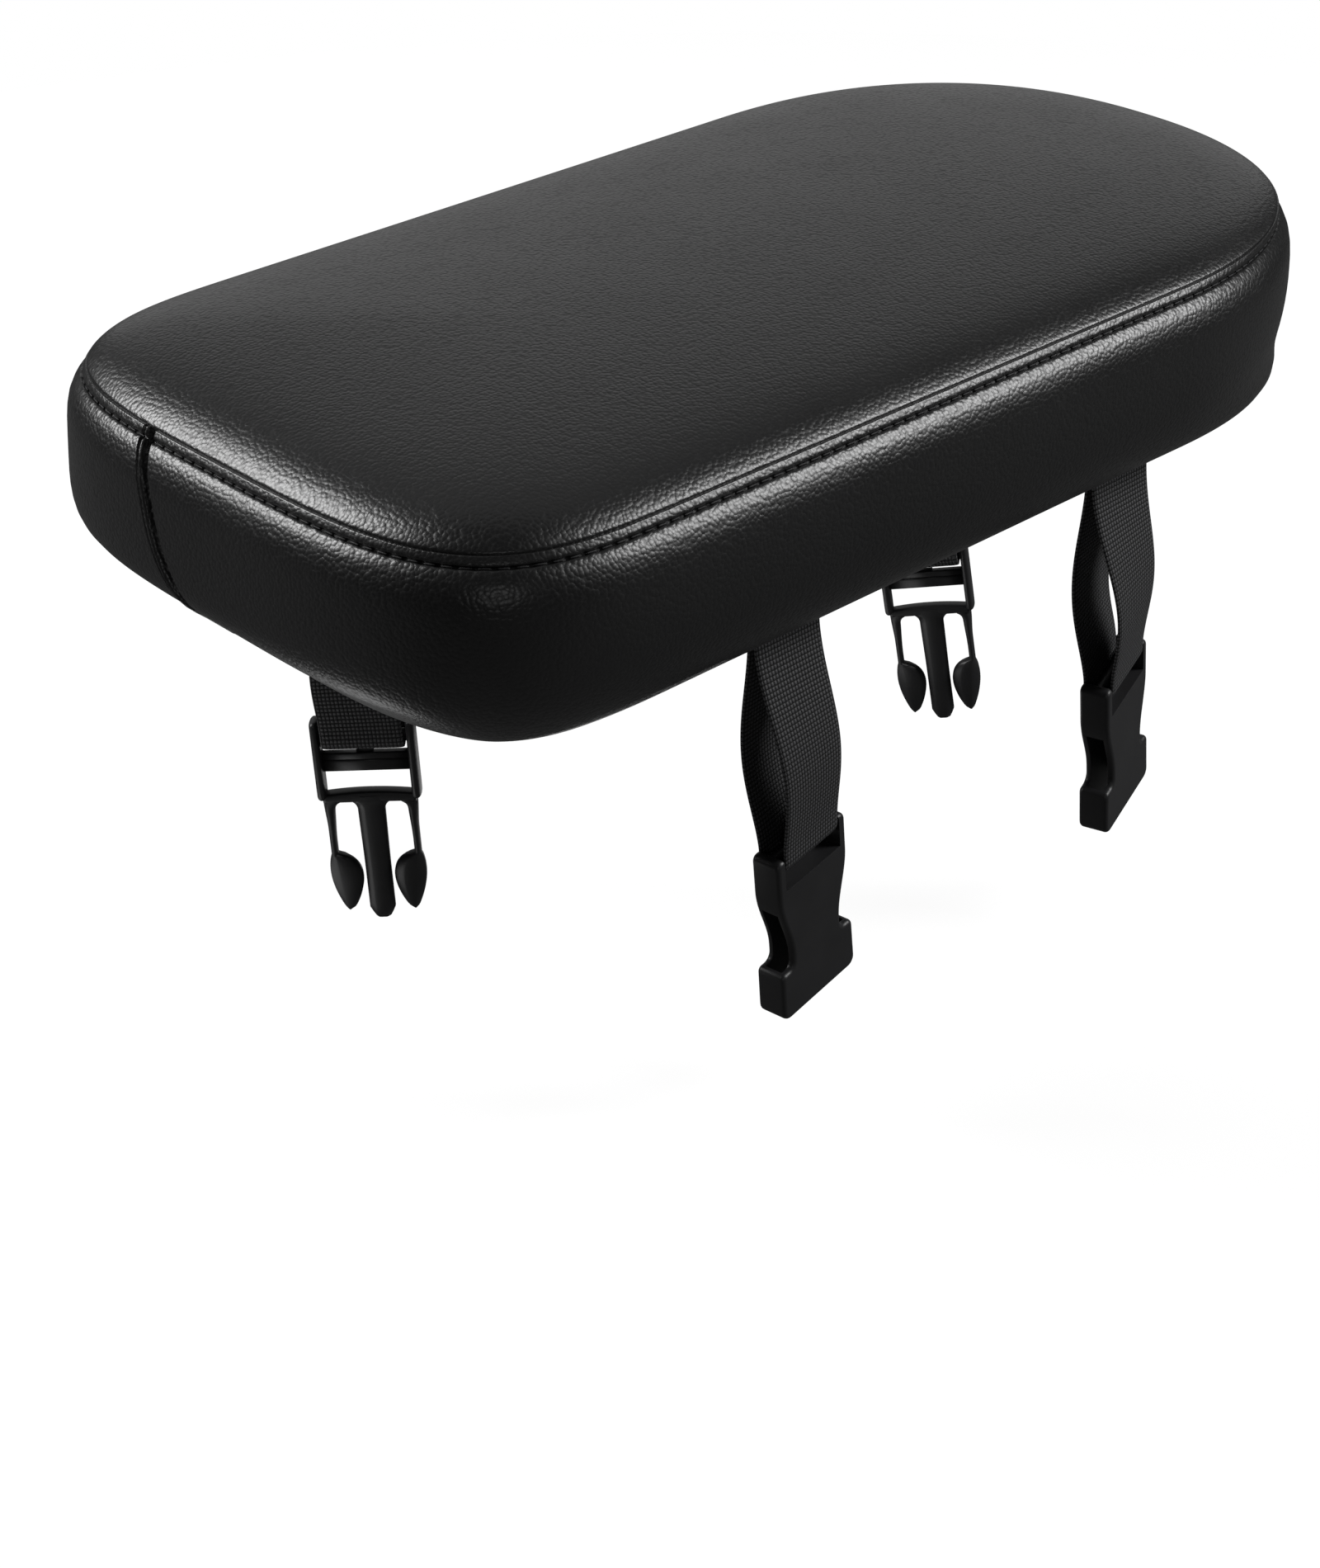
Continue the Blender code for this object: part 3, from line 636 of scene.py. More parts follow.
def band_line():
    """The band's outer face from the seam to the hem's edge: the distance down it, its (inset, height) and
    its outward direction. Its shape is a smooth line through keys, each a share of the seam's height below
    the seam and a share of the bulge."""
    sizes = cover()
    shape = (
        (0.022, 0.11), (0.044, 0.23), (0.083, 0.55), (0.135, 0.80), (0.20, 0.94), (0.30, 1.0), (0.42, 1.0),
        (0.57, 0.86), (0.73, 0.46), (0.87, -0.24),
    )
    line = spline([
        (0, sizes.seam_height),
        *((-sizes.bulge * bulge, sizes.seam_height * (1 - drop)) for drop, bulge in shape),
        (FOOT_INSET * 0.5, HEM_FOOT + FOOT_RISE * 1.3),
        (FOOT_INSET, HEM_FOOT),
        (FOOT_INSET + HEM_WIDTH, HEM_FOOT),
    ], 1200)
    line[:, 1] = np.maximum(line[:, 1], HEM_FOOT)
    slope = unit(np.gradient(line, axis=0))
    return travelled(line), line, np.stack([slope[:, 1], -slope[:, 0]], axis=1)


def closing_place():
    """Distance along the seam line of the band's upright seam on the flat end."""
    at, line = plan_line()[:2]
    flat_end = line[:, 0] < -cover().length / 2 + cover().flat_end / 2
    return at[flat_end][np.argmin(np.abs(line[flat_end, 1] - cover().closing))]


def closing_slant(down, along):
    """Distances along the seam line at which the band's columns lie at each distance down it: round the
    upright seam they slant towards the cushion's near side, at 0.4 with a slight bow, and the slant fades
    out on both sides of the seam."""
    start, run = 3.2 * MM, 48 * MM
    fade_start, fade_run = 6 * MM, 50 * MM
    bow = 1.6 * MM * hill(down - 23 * MM, 9 * MM)
    slant = 0.40 * np.clip(down - start, 0, run) - bow
    near = 1 - step_up((np.abs(along - closing_place()) - fade_start) / fade_run)
    return along + slant[:, None] * near


def closing_relief(beside, down):
    """The band's upright seam, as depth outwards: a trough, widest at mid height, and a thin ridge with a
    fine crease beside it."""
    half = 0.84 * MM + 0.34 * MM * hill(down - 27.9 * MM, 20.46 * MM)
    wall = 0.44 * MM
    trough = step_up((half + wall / 2 - np.abs(beside)) / wall)
    ridge = 0.35 * MM * hill(beside + half + 0.80 * MM, 0.50 * MM)
    crease = 0.88 * MM * hill(beside + half + 1.95 * MM, 0.32 * MM)
    return -CLOSING_DEPTH * trough, ridge - crease


def band_relief(down, along):
    """Crease, stitched strip and groove of the band, as depth outwards, from the distance down the band and
    the distance along it. The groove is deeper at each needle hole and the strip puffs up between them."""
    sizes = cover()
    pitch = perimeter() / stitch_count()
    hole = 0.5 + 0.5 * np.cos(2 * np.pi * along / pitch)
    crease = seam_crease(down, sizes.crease)
    strip = (0.07 - 0.05 * hole) * MM * hill(down - sizes.welt * 0.55, sizes.welt * 0.34)
    away = down - sizes.welt - GROOVE_SHIFT
    groove = sizes.groove * (0.72 + 0.28 * hole**3) * hill(away, (0.31 + 0.08 * hole) * MM)
    lip = (0.08 - 0.06 * hole) * MM * hill(down - sizes.welt - 1.2 * MM, 0.8 * MM)
    return strip + lip - crease - groove


def end_swell(place, out):
    """How much further the band stands out and up at the two ends: at the flat end it sags outwards towards
    a raised foot and is drawn in under the seam, at the round end it is pinched in above a full foot."""
    inset, height = place.T[:, :, None]
    towards = out @ (0.9, -0.43)
    left = step_up(-towards * 1.6 - 0.5)
    right = step_up(towards * 1.6 - 0.5)
    foot = step_up((FOOT_INSET - inset) / (FOOT_INSET - 2 * MM))
    seam = step_up((cover().seam_height - height) / (3 * MM))
    sag = 2.6 * MM * hill(height - 13 * MM, 12 * MM)
    tuck = 0.3 * MM * hill(height - 44 * MM, 7 * MM)
    full_foot = 6.2 * MM * hill(height - 3 * MM, 8 * MM)
    pinch = 1.6 * MM
    lift = 2.4 * MM * hill(height - 5 * MM, 6 * MM)
    return (left * (sag - tuck) + right * (full_foot - pinch)) * foot * seam, left * lift * foot


def band_surface(down, along, relief):
    """Points of the band at distances down it and along it, moved outwards by relief."""
    total, line, out_line = band_line()
    point, out = plan_points(along)
    place, lean = read_line(down, total, line), read_line(down, total, out_line)
    swell, lift = end_swell(place, out)
    inset = place[:, None, 0] + relief * lean[:, None, 0] - swell
    height = place[:, None, 1] + relief * lean[:, None, 1] + lift
    return raised(point - out * inset[..., None], height)


def build_band():
    """Side band: its outer face from the seam to the hem's edge and its inner face back, with six columns to
    a stitch and closer ones round the upright seam."""
    sizes = cover()
    seam_at = closing_place()
    columns = 6 * stitch_count()
    even = np.arange(columns) * perimeter() / columns
    close = seam_at + np.arange(-27, 24) * 0.15 * MM
    far = np.abs(even - seam_at + 0.2 * MM) > 4.2 * MM
    along = np.sort(np.concatenate([even[far], close]))
    total = band_line()[0][-1]
    down = np.concatenate([
        np.arange(0, 1.0, 0.125) * MM,
        np.arange(1.0, 2.2, 0.3) * MM,
        np.arange(2.2, 3.2, 0.125) * MM,
        np.arange(3.2, 6.0, 0.45) * MM,
        np.linspace(6.0 * MM, total, 24),
    ])
    trough, ridge = closing_relief((along - seam_at)[None], down[:, None])
    slanted = closing_slant(down, along)
    kept = 1 + 0.6 * trough / CLOSING_DEPTH
    outer = band_surface(down, slanted, band_relief(down[:, None], slanted) * kept + trough + ridge)
    inner_down = np.linspace(0, total, 12)[::-1]
    inner_trough = closing_relief((along - seam_at)[None], inner_down[:, None])[0]
    inner = band_surface(inner_down, closing_slant(inner_down, along), inner_trough - sizes.leather)
    piece = grid_piece("side_cover", np.concatenate([outer, inner]), leather_finish(), looped=True)
    return dress(piece, "side_band")


def build_stitches():
    """Lock stitches in the groove: small ellipsoids, half a millimetre thick, one to each stitch length."""
    sizes = cover()
    count = stitch_count()
    pitch = perimeter() / count
    along = (np.arange(count) + 0.5) * pitch
    seam_at = closing_place()
    along = along[np.abs(along - seam_at) > 2.6 * MM]
    down = np.array([sizes.welt + GROOVE_SHIFT])
    centre = band_surface(down, along, np.full((1, len(along)), -0.42 * MM))[0]
    out = plan_points(along)[1]
    run = np.stack([-out[:, 1], out[:, 0], np.zeros(len(along))], axis=1)
    face = np.stack([out[:, 0], out[:, 1], np.ones(len(along))], axis=1) / math.sqrt(2)
    side = np.cross(run, face)
    turn = np.linspace(0, 2 * np.pi, 9)[:-1]
    reach = np.linspace(-1, 1, 7)
    thick = 0.23 * MM * np.sqrt(1 - reach**2)[:, None]
    half = pitch * 0.40
    points = (
        centre[:, None, None]
        + run[:, None, None] * (half * reach)[None, :, None, None]
        + side[:, None, None] * (thick * np.cos(turn))[None, ..., None]
        + face[:, None, None] * (thick * np.sin(turn))[None, ..., None]
    )
    faces = grid_faces(len(reach), len(turn))
    every = np.concatenate([faces + k * len(reach) * len(turn) for k in range(len(along))])
    piece = make_piece("seam_stitches", points, every.tolist(), thread_finish())
    return dress(piece, None)


def build_foam():
    """Crowned foam block: its wall follows the band, with a groove round it for the seam, and its foot is
    pressed up over the rivet heads."""
    sizes = cover()
    columns = 700
    along = np.arange(columns) * perimeter() / columns
    point, out = plan_points(along)
    line = band_line()[1]
    wall = sizes.leather + GAP + 1.6 * MM
    low, high = FOAM_FOOT, sizes.seam_height - 4 * MM
    heights = np.linspace(low, high, 14)
    falling = line[:, 1] > HEM_FOOT + 0.05 * MM
    inset = np.interp(heights, line[falling, 1][::-1], line[falling, 0][::-1]) + wall
    swell = end_swell(np.column_stack([inset - wall, heights]), out)[0]
    wall_inset = inset[:, None] - swell
    groove, seam_room = np.full((1, columns), 7 * MM), 1.6 * MM
    wall_inset = np.concatenate([wall_inset, groove, groove])
    heights = np.append(heights, (sizes.seam_height - seam_room, sizes.seam_height + seam_room))
    sides = raised(point - out * wall_inset[..., None], heights[:, None])
    half = sizes.width / 2
    top = dome_rows(point, out, np.linspace(13 * MM, half, 16), sizes.leather + GAP * 2)
    foot_inset = np.linspace(inset[0], half, 30)[::-1]
    foot = dome_points(point, out, foot_inset)
    foot[-1] = sides[0][:, :2]
    rise = np.zeros(foot.shape[:2])
    for x, y, inward in STRAPS.values():
        for side in (-1, 1):
            rivet = (x + side * RIVET_SPACING / 2, y + inward * RIVET_REACH)
            away = np.hypot(foot[..., 0] - rivet[0], foot[..., 1] - rivet[1])
            rise = np.maximum(rise, 1.2 * MM * step_up((9 * MM - away) / (4.5 * MM)))
    foot = raised(foot, FOAM_FOOT + rise)
    piece = grid_piece("foam_core", np.concatenate([foot[:-1], sides, top]), foam_finish())
    dress(piece, "foam_pad")
    return piece


# Underside

def build_underside():
    """Cloth plate with a rolled edge and a slit for each loop."""
    sizes = cover()
    columns = 500
    point, out = plan_points(np.arange(columns) * perimeter() / columns)
    half = sizes.width / 2
    inset = CLOTH_INSET + (half - CLOTH_INSET) * np.linspace(0, 1, 18) ** 1.6
    near = inset - CLOTH_INSET
    hem = 0.12 * MM * hill(near - 3.2 * MM, 0.5 * MM)
    roll = np.minimum(near, CLOTH / 2) / (CLOTH / 2)
    thick = CLOTH * (0.55 + 0.45 * np.sqrt(1 - (1 - roll) ** 2))
    flat = dome_points(point, out, inset)
    lower = raised(flat, ((CLOTH - thick) / 2 + hem)[:, None])
    upper = raised(flat, ((CLOTH + thick) / 2)[:, None])
    piece = grid_piece("underside_cloth", np.concatenate([lower[::-1], upper]), cloth_finish())
    across, along = straps().width, LAYER_PITCH + straps().thickness
    slit = (across + 2 * SLIT_CLEARANCE, along + 2 * SLIT_CLEARANCE, 6 * MM)
    carve(piece, [(box_piece(slit, (x, y, 0)), "DIFFERENCE") for x, y, inward in STRAPS.values()])
    dress(piece, "underside_cover")


def box_piece(size, centre):
    mesh = bpy.data.meshes.new("cutter")
    shape = bmesh.new()
    bmesh.ops.create_cube(shape, size=1, matrix=Matrix.Translation(centre) @ Matrix.Diagonal((*size, 1)))
    shape.to_mesh(mesh)
    shape.free()
    return add_object("cutter", mesh)


def carve(piece, steps):
    """Cuts or joins each tool into the piece, keeps the result as its mesh and removes the tools."""
    for tool, operation in steps:
        modifier = piece.modifiers.new("carve", "BOOLEAN")
        modifier.operation = operation
        modifier.solver = "EXACT"
        modifier.object = tool
    bpy.context.view_layer.update()
    shown = piece.evaluated_get(bpy.context.evaluated_depsgraph_get())
    carved = bpy.data.meshes.new_from_object(shown)
    carved.name = piece.name
    piece.modifiers.clear()
    piece.data = carved
    for tool, operation in steps:
        bpy.data.objects.remove(tool, do_unlink=True)


def dress_hidden():
    """Finishes of the solids that stay as they are: the board and its rivets."""
    for name, node in frame["nodes"].items():
        if name == "base_board":
            material, slot = board_finish(), "board"
        elif name.startswith("strap_rivet"):
            material, slot = metal_finish(), "rivet_metal"
        else:
            continue
        node.data.materials.clear()
        node.data.materials.append(material)


# Webbing

def joint_frame(name):
    """Bar point and axes (columns: along the bar, across, up) of a buckle half, from its joint."""
    joint = next(joint for joint in frame["joints"] if joint["name"] == name + "_swing")
    along = np.array(joint["axis"], float)
    heading = math.atan2(along[1], along[0])
    across = np.array([-math.sin(heading), math.cos(heading), 0])
    return np.array(joint["pos_m"], float), np.stack([along, across, np.cross(along, across)], axis=1)


def loop_line(name):
    """Middle line and width direction of a webbing loop: out of the board's pocket, round the bend, down a
    leg that bows outwards, round the bar in a half circle, and back. The legs stand off a cubic curve from
    the slit to the bar by a half gap of start + (end - start) smooth(s) + bulge s^2.5 (1 - s)^2 / 0.0455."""
    x, y, inward = STRAPS[name]
    bar, axes = joint_frame(name)
    width_end, across_end, up_end = axes.T
    width_start = np.array([1.0, 0, 0])
    bend = LOWER_LAYER - BEND_RADIUS
    top = np.array([x, y, bend])
    bight = bar + up_end * BIGHT_RISE
    pull = np.linalg.norm(top - bight) / 3

    def leg(side, s):
        s = s[:, None]
        b = top - np.array([0, 0, pull])
        c = bight + up_end * pull
        centre = top * (1 - s) ** 3 + b * 3 * (1 - s) ** 2 * s + c * 3 * (1 - s) * s**2 + bight * s**3
        twist = step_up(s / 0.85)
        width = unit(width_start + (width_end - width_start) * twist)
        up = np.array([0, 0, 1.0]) + (up_end - np.array([0, 0, 1.0])) * twist
        across = unit(np.cross(up, width))
        start = LAYER_PITCH / 2
        gap = start + (LOOP_RADIUS - start) * step_up(s) + straps().bulge * s**2.5 * (1 - s) ** 2 / 0.0455
        return centre + across * side * gap, width

    def flap(layer, radius):
        turn = np.radians(np.linspace(90, 172, 8))
        run = LAYER_PITCH / 2 + BEND_RADIUS + np.cos(turn) * radius
        run = np.concatenate([np.linspace(FLAP_LENGTH, run[0] + 1 * MM, 10), run])
        height = np.concatenate([np.full(10, layer), bend + np.sin(turn) * radius])
        return np.stack([np.full(len(run), x), y + inward * run, height], axis=1)

    down = np.linspace(0, 1, 70)
    first, first_width = leg(-inward, down)
    last, last_width = leg(inward, down[::-1])
    turn = np.linspace(0, np.pi, 26)[1:-1, None]
    middle = bight - across_end * inward * np.cos(turn) * LOOP_RADIUS - up_end * np.sin(turn) * LOOP_RADIUS
    outer = flap(UPPER_LAYER, BEND_RADIUS + LAYER_PITCH)
    inner = flap(LOWER_LAYER, BEND_RADIUS)
    line = np.concatenate([outer, first, middle, last, inner[::-1]])
    width = np.concatenate([
        np.tile(width_start, (len(outer), 1)),
        first_width,
        np.tile(width_end, (len(middle), 1)),
        last_width,
        np.tile(width_start, (len(inner), 1)),
    ])
    return line, width


def build_webbing(name):
    """A ribbon of constant width along its line, with rounded selvedges: half thickness times the fourth root
    of 1 - u to the 12th, where u goes from -1 to 1 across it."""
    line, width = loop_line(name)
    travel = travelled(line)
    face = unit(np.cross(np.gradient(line, travel, axis=0), width))
    u = np.sin(np.linspace(-np.pi / 2, np.pi / 2, 25))
    lift = (1 - u**12) ** 0.25
    ring_u = np.concatenate([u, u[-2:0:-1]])
    ring_lift = np.concatenate([lift, -lift[-2:0:-1]])
    half_width = straps().width / 2
    half_thick = straps().thickness / 2
    rows = (
        line[:, None]
        + width[:, None] * (ring_u * half_width)[None, :, None]
        + face[:, None] * (ring_lift * half_thick)[None, :, None]
    )
    weave = np.stack(
        np.broadcast_arrays(ring_u[None] * half_width / MM, travel[:, None] / MM), axis=-1
    ).reshape(-1, 2)
    ribbon = Bundle()
    ribbon.add(*tube(rows))
    piece = ribbon.make("webbing_loop_" + name, webbing_finish(), weave)
    dress(piece, "webbing_" + name)


# Buckle halves

def round_section(power):
    """Super-ellipse, |x| to the power plus |y| to the power = 1."""
    sides = 28
    turn = np.linspace(0, 2 * np.pi, sides + 1)[:-1]
    x = np.sign(np.cos(turn)) * np.abs(np.cos(turn)) ** (2 / power)
    y = np.sign(np.sin(turn)) * np.abs(np.sin(turn)) ** (2 / power)
    return np.stack([x, y], axis=1)


def hipped_section(face, wall):
    """Octagon with a flat face and slanting flanks, each corner cut by a narrow facet. face is the half width
    of the flat, wall the half height of the side."""
    right = np.array([(face, -1), (1, -wall), (1, wall), (face, 1)])
    corner = np.roll(np.concatenate([right, -right]), -1, axis=0)
    ahead = np.roll(corner, -1, axis=0)
    behind = np.roll(corner, 1, axis=0)
    cut = 0.12
    pair = np.stack([corner + (behind - corner) * cut, corner + (ahead - corner) * cut], axis=1)
    return pair.reshape(-1, 2)


def limb(rows, section, axis=2):
    """Closed bar along an axis. Each row holds (place along it, left, right, half depth), and its section is
    given as (x, y) from -1 to 1."""
    x, y = section.T
    place, left, right, depth = np.asarray(rows, float).T[:, :, None]
    across = (left + right) / 2 + (right - left) / 2 * x
    deep = depth * y
    run = np.broadcast_to(place, across.shape)
    return tube(np.stack((across, deep, run) if axis == 2 else (run, deep, across), axis=-1))


def bar_rows(reach):
    """Rows of the round bar that the webbing goes round."""
    return [(place, -BAR_RADIUS, BAR_RADIUS, BAR_RADIUS) for place in (-reach, reach)]


def ease_ends(rows, radius):
    """Rows of a bar with its two ends rounded: within radius of an end the section draws in along a quarter
    circle."""
    rows = np.asarray(rows, float)
    low, high = sorted((rows[0, 0], rows[-1, 0]))
    corner = radius * (1 - np.cos(np.linspace(0, np.pi / 2, 6)))
    places = np.concatenate([low + corner, high - corner, rows[:, 0]])
    places = np.unique(np.round(places, 7))
    order = np.argsort(rows[:, 0])
    eased = np.stack([np.interp(places, rows[order, 0], rows[order, k]) for k in range(1, 4)], axis=1)
    near = np.minimum(places - low, high - places)
    draw = radius * (1 - np.sqrt(1 - (1 - np.clip(near / radius, 0, 1)) ** 2))
    eased[:, 0] += draw
    eased[:, 1] -= draw
    eased[:, 2] -= draw
    return np.column_stack([places, eased])


def plate(half, thickness, edge):
    """A symmetric plate in the XZ plane: its outline is the half outline (x, z) and its mirror image, and its
    edge is a quarter circle on each face. Gives points, wall faces and the two face caps."""
    mirror = half[::-1] * (-1, 1)
    outline = np.concatenate([half[:-1], mirror[:-1]])
    slope = unit(np.roll(outline, -1, axis=0) - np.roll(outline, 1, axis=0))
    inward = np.stack([slope[:, 1], -slope[:, 0]], axis=1)
    turning = np.linspace(0, np.pi / 2, 6)
    draw = edge * (1 - np.sin(turning))
    rise = thickness / 2 - edge * (1 - np.cos(turning))
    draw = np.concatenate([draw, draw[::-1]])
    rise = np.concatenate([rise, -rise[::-1]])
    flat = outline[None] + inward[None] * draw[:, None, None]
    return tube(raised(flat, rise[:, None])[..., [0, 2, 1]])


def quarter(x, z, radius, start, end):
    """Seven points of a quarter circle round (x, z), between two angles in degrees."""
    turn = np.radians(np.linspace(start, end, 7))
    return np.stack([x + radius * np.cos(turn), z + radius * np.sin(turn)], axis=1)


def female_outline():
    """Half outline (x, z) of a female half: straight cheek, S-curve into the waist, rounded shoulder, and
    the mouth's corner."""
    cheek, waist, shoulder, mouth = 12.9 * MM, 9.2 * MM, 13.8 * MM, 14.0 * MM
    top, cheek_end, waist_start, waist_end, shoulder_top, foot = (
        z * MM for z in (2.2, -8.5, -26.5, -28.4, -30.3, -44.0)
    )
    top_round, waist_round, shoulder_round, mouth_round = 1.8 * MM, 1.9 * MM, 1.6 * MM, 2.6 * MM
    fall = np.linspace(cheek_end, waist_start, 26)
    narrowing = step_up((cheek_end - fall) / (cheek_end - waist_start))
    return np.concatenate([
        [(0, top)],
        quarter(cheek - top_round, top - top_round, top_round, 90, 0),
        np.stack([cheek - (cheek - waist) * narrowing, fall], axis=1),
        quarter(waist + waist_round, waist_end, waist_round, 180, 270),
        quarter(shoulder - shoulder_round, shoulder_top - shoulder_round, shoulder_round, 90, 0),
        quarter(mouth - mouth_round, foot + mouth_round, mouth_round, 0, -90),
        [(0, foot)],
    ])


def build_female(number):
    """Female half: a rounded plate with the webbing window, its bar and the socket, open at the waist."""
    bundle = Bundle()
    thickness, edge = 8 * MM, 1.1 * MM
    bundle.add(*plate(female_outline(), thickness, edge))
    piece = bundle.make(f"female_half_{number}", plastic_finish())
    sill, lintel = -6.5 * MM, 3.2 * MM
    window = box_piece((BAR_OPENING, 2 * thickness, lintel - sill), (0, 0, (sill + lintel) / 2))
    socket = box_piece((SOCKET_WIDTH, SOCKET_HEIGHT, SOCKET_DEPTH + 1 * MM), (0, 0, SOCKET_MIDDLE))
    rod = Bundle()
    reach = BAR_OPENING / 2 + 1 * MM
    rod.add(*limb(bar_rows(reach), round_section(2.0), axis=0))
    bar = rod.make("bar", plastic_finish())
    carve(piece, ((window, "DIFFERENCE"), (socket, "DIFFERENCE"), (bar, "UNION")))
    place_in_frame(piece, f"female_{number}")
    soften(piece, 0.28 * MM)
    body = f"female_buckle_{number}"
    dress(piece, body, body)


def place_in_frame(piece, name):
    """Moves a piece's points from a buckle half's own axes to its bar."""
    bar, axes = joint_frame(name)
    mesh = piece.data
    points = np.zeros(len(mesh.vertices) * 3, np.float32)
    mesh.vertices.foreach_get("co", points)
    placed = bar + points.reshape(-1, 3) @ axes.T
    mesh.vertices.foreach_set("co", placed.astype(np.float32).ravel())
    mesh.update()


def soften(piece, width):
    """Small bevel along the sharp edges that the cuts left."""
    modifier = piece.modifiers.new("edges", "BEVEL")
    modifier.width = width
    modifier.segments = 2
    modifier.limit_method = "ANGLE"
    modifier.angle_limit = math.radians(42)


def fillet(place):
    """How far an arm or the prong widens, as a quarter circle, just below the top of the gaps."""
    near = np.clip((place - (GAP_TOP - GAP_ROUND)) / GAP_ROUND, 0, 1)
    return GAP_ROUND * (1 - np.sqrt(1 - near**2))


def arm_rows(side):
    """A sprung arm with its leaf-shaped barb, from the crossbar down. The leaf's inner side is a sine of its
    length to the power 0.62, which puts its belly near the top, and its tip is a quarter ellipse."""
    stem = np.linspace(FORK_TOP, LEAF_TOP, 26)
    fallen = GAP_TOP - stem
    inner = 8.9 * MM - fillet(stem) + 0.5 * MM * step_up(fallen / (12 * MM))
    outer = 11.6 * MM - 0.4 * MM * step_up(fallen / (8 * MM))
    deep = 1.75 * MM - 0.25 * MM * step_up(fallen / (14 * MM))
    stem_rows = np.column_stack([stem, inner, outer, deep])
    leaf = np.linspace(0, 1, 26)[1:]
    leaf_length = 16.5 * MM
    fall = LEAF_TOP - leaf * leaf_length
    belly = np.sin(np.pi * leaf**0.62) ** 0.85
    leaf_inner = 9.4 * MM - 5.0 * MM * belly - 2.1 * MM * step_up(leaf) * (1 - belly * 0.2)
    leaf_outer = 11.2 * MM + 0.9 * MM * np.sin(np.pi * leaf**0.75) - 2.3 * MM * leaf**2.4
    blunt = 1 - np.sqrt(1 - np.clip((leaf - 0.93) / 0.07, 0, 1) ** 2)
    leaf_inner += (leaf_outer - leaf_inner) * 0.34 * blunt
    leaf_outer -= (leaf_outer - leaf_inner) * 0.34 * blunt
    leaf_deep = 1.5 * MM + 0.45 * MM * np.sin(np.pi * leaf**0.6) - 0.9 * MM * leaf**4
    rows = np.concatenate([stem_rows, np.column_stack([fall, leaf_inner, leaf_outer, leaf_deep])])
    if side < 0:
        rows = rows[:, [0, 2, 1, 3]] * (1, -1, -1, 1)
    return rows


def prong_rows():
    """Centre prong: flared into the crossbar, slightly tapered, with a blunt tip."""
    blunting, thinning = 3 * MM, 2.4 * MM
    place = np.concatenate([np.linspace(FORK_TOP, -21 * MM, 14), np.linspace(-22 * MM, PRONG_TIP, 24)])
    half = 3.4 * MM + fillet(place) - 0.2 * MM * step_up((GAP_TOP - place) / (20 * MM))
    half -= 1.3 * MM * step_up((PRONG_TIP + blunting - place) / blunting) ** 1.5
    deep = 1.8 * MM - 0.5 * MM * step_up((PRONG_TIP + thinning - place) / thinning)
    return np.column_stack([place, -half, half, deep])


def build_male(number):
    """Male half: a ladder of two rails and two bars for the webbing, and a fork of two sprung arms with
    barbs and a centre prong."""
    bundle = Bundle()
    for side in (-1, 1):
        left, right = sorted((side * BAR_OPENING / 2, side * 12.8 * MM))
        depths = ((4.8, 2.7), (0.5, 3.0), (-14, 3.0), (-17.2, 2.6))
        rail = [(place * MM, left, right, deep * MM) for place, deep in depths]
        bundle.add(*limb(ease_ends(rail, 1.1 * MM), round_section(2.6)))
        bundle.add(*limb(arm_rows(side), hipped_section(0.42, 0.30)))
    reach = BAR_OPENING / 2 + 0.6 * MM
    bundle.add(*limb(bar_rows(reach), round_section(2.0), axis=0))
    rib = 2.1 * MM
    lower_bar = ((reach, -9.4, -6.0, 1.35), (reach, -6.3, -4.3, 1.15), (rib, -4.6, -3.75, 0.4))
    for width, low, high, deep in lower_bar:
        step = [(place, low * MM, high * MM, deep * MM) for place in (-width, width)]
        bundle.add(*limb(step, round_section(5.0), axis=0))
    across = np.linspace(-reach - 0.4 * MM, reach + 0.4 * MM, 31)
    arch = -15.9 * MM + 0.8 * MM * (1 - (across / reach) ** 2)
    crossbar = np.column_stack([across, np.full(31, GAP_TOP), arch, np.full(31, 1.8 * MM)])
    bundle.add(*limb(crossbar, round_section(4.0), axis=0))
    bundle.add(*limb(prong_rows(), hipped_section(0.52, 0.25)))
    piece = bundle.make(f"male_half_{number}", plastic_finish())
    place_in_frame(piece, f"male_{number}")
    body = f"male_buckle_{number}"
    dress(piece, body, body)


# Stage

def lamp(name, towards, away, width, height, radiance, target=(0, 0, 0.03)):
    """A soft rectangular lamp that faces the target from a direction and distance. Its power is its radiance
    times pi times its area."""
    data = bpy.data.lights.new(name, "AREA")
    data.shape = "RECTANGLE"
    data.size, data.size_y = width, height
    data.energy = radiance * math.pi * width * height
    lamp_object = add_object(name, data)
    back = Vector(towards).normalized()
    lamp_object.location = Vector(target) + back * away
    lamp_object.rotation_mode = "QUATERNION"
    lamp_object.rotation_quaternion = back.to_track_quat("Z", "Y")
    return lamp_object


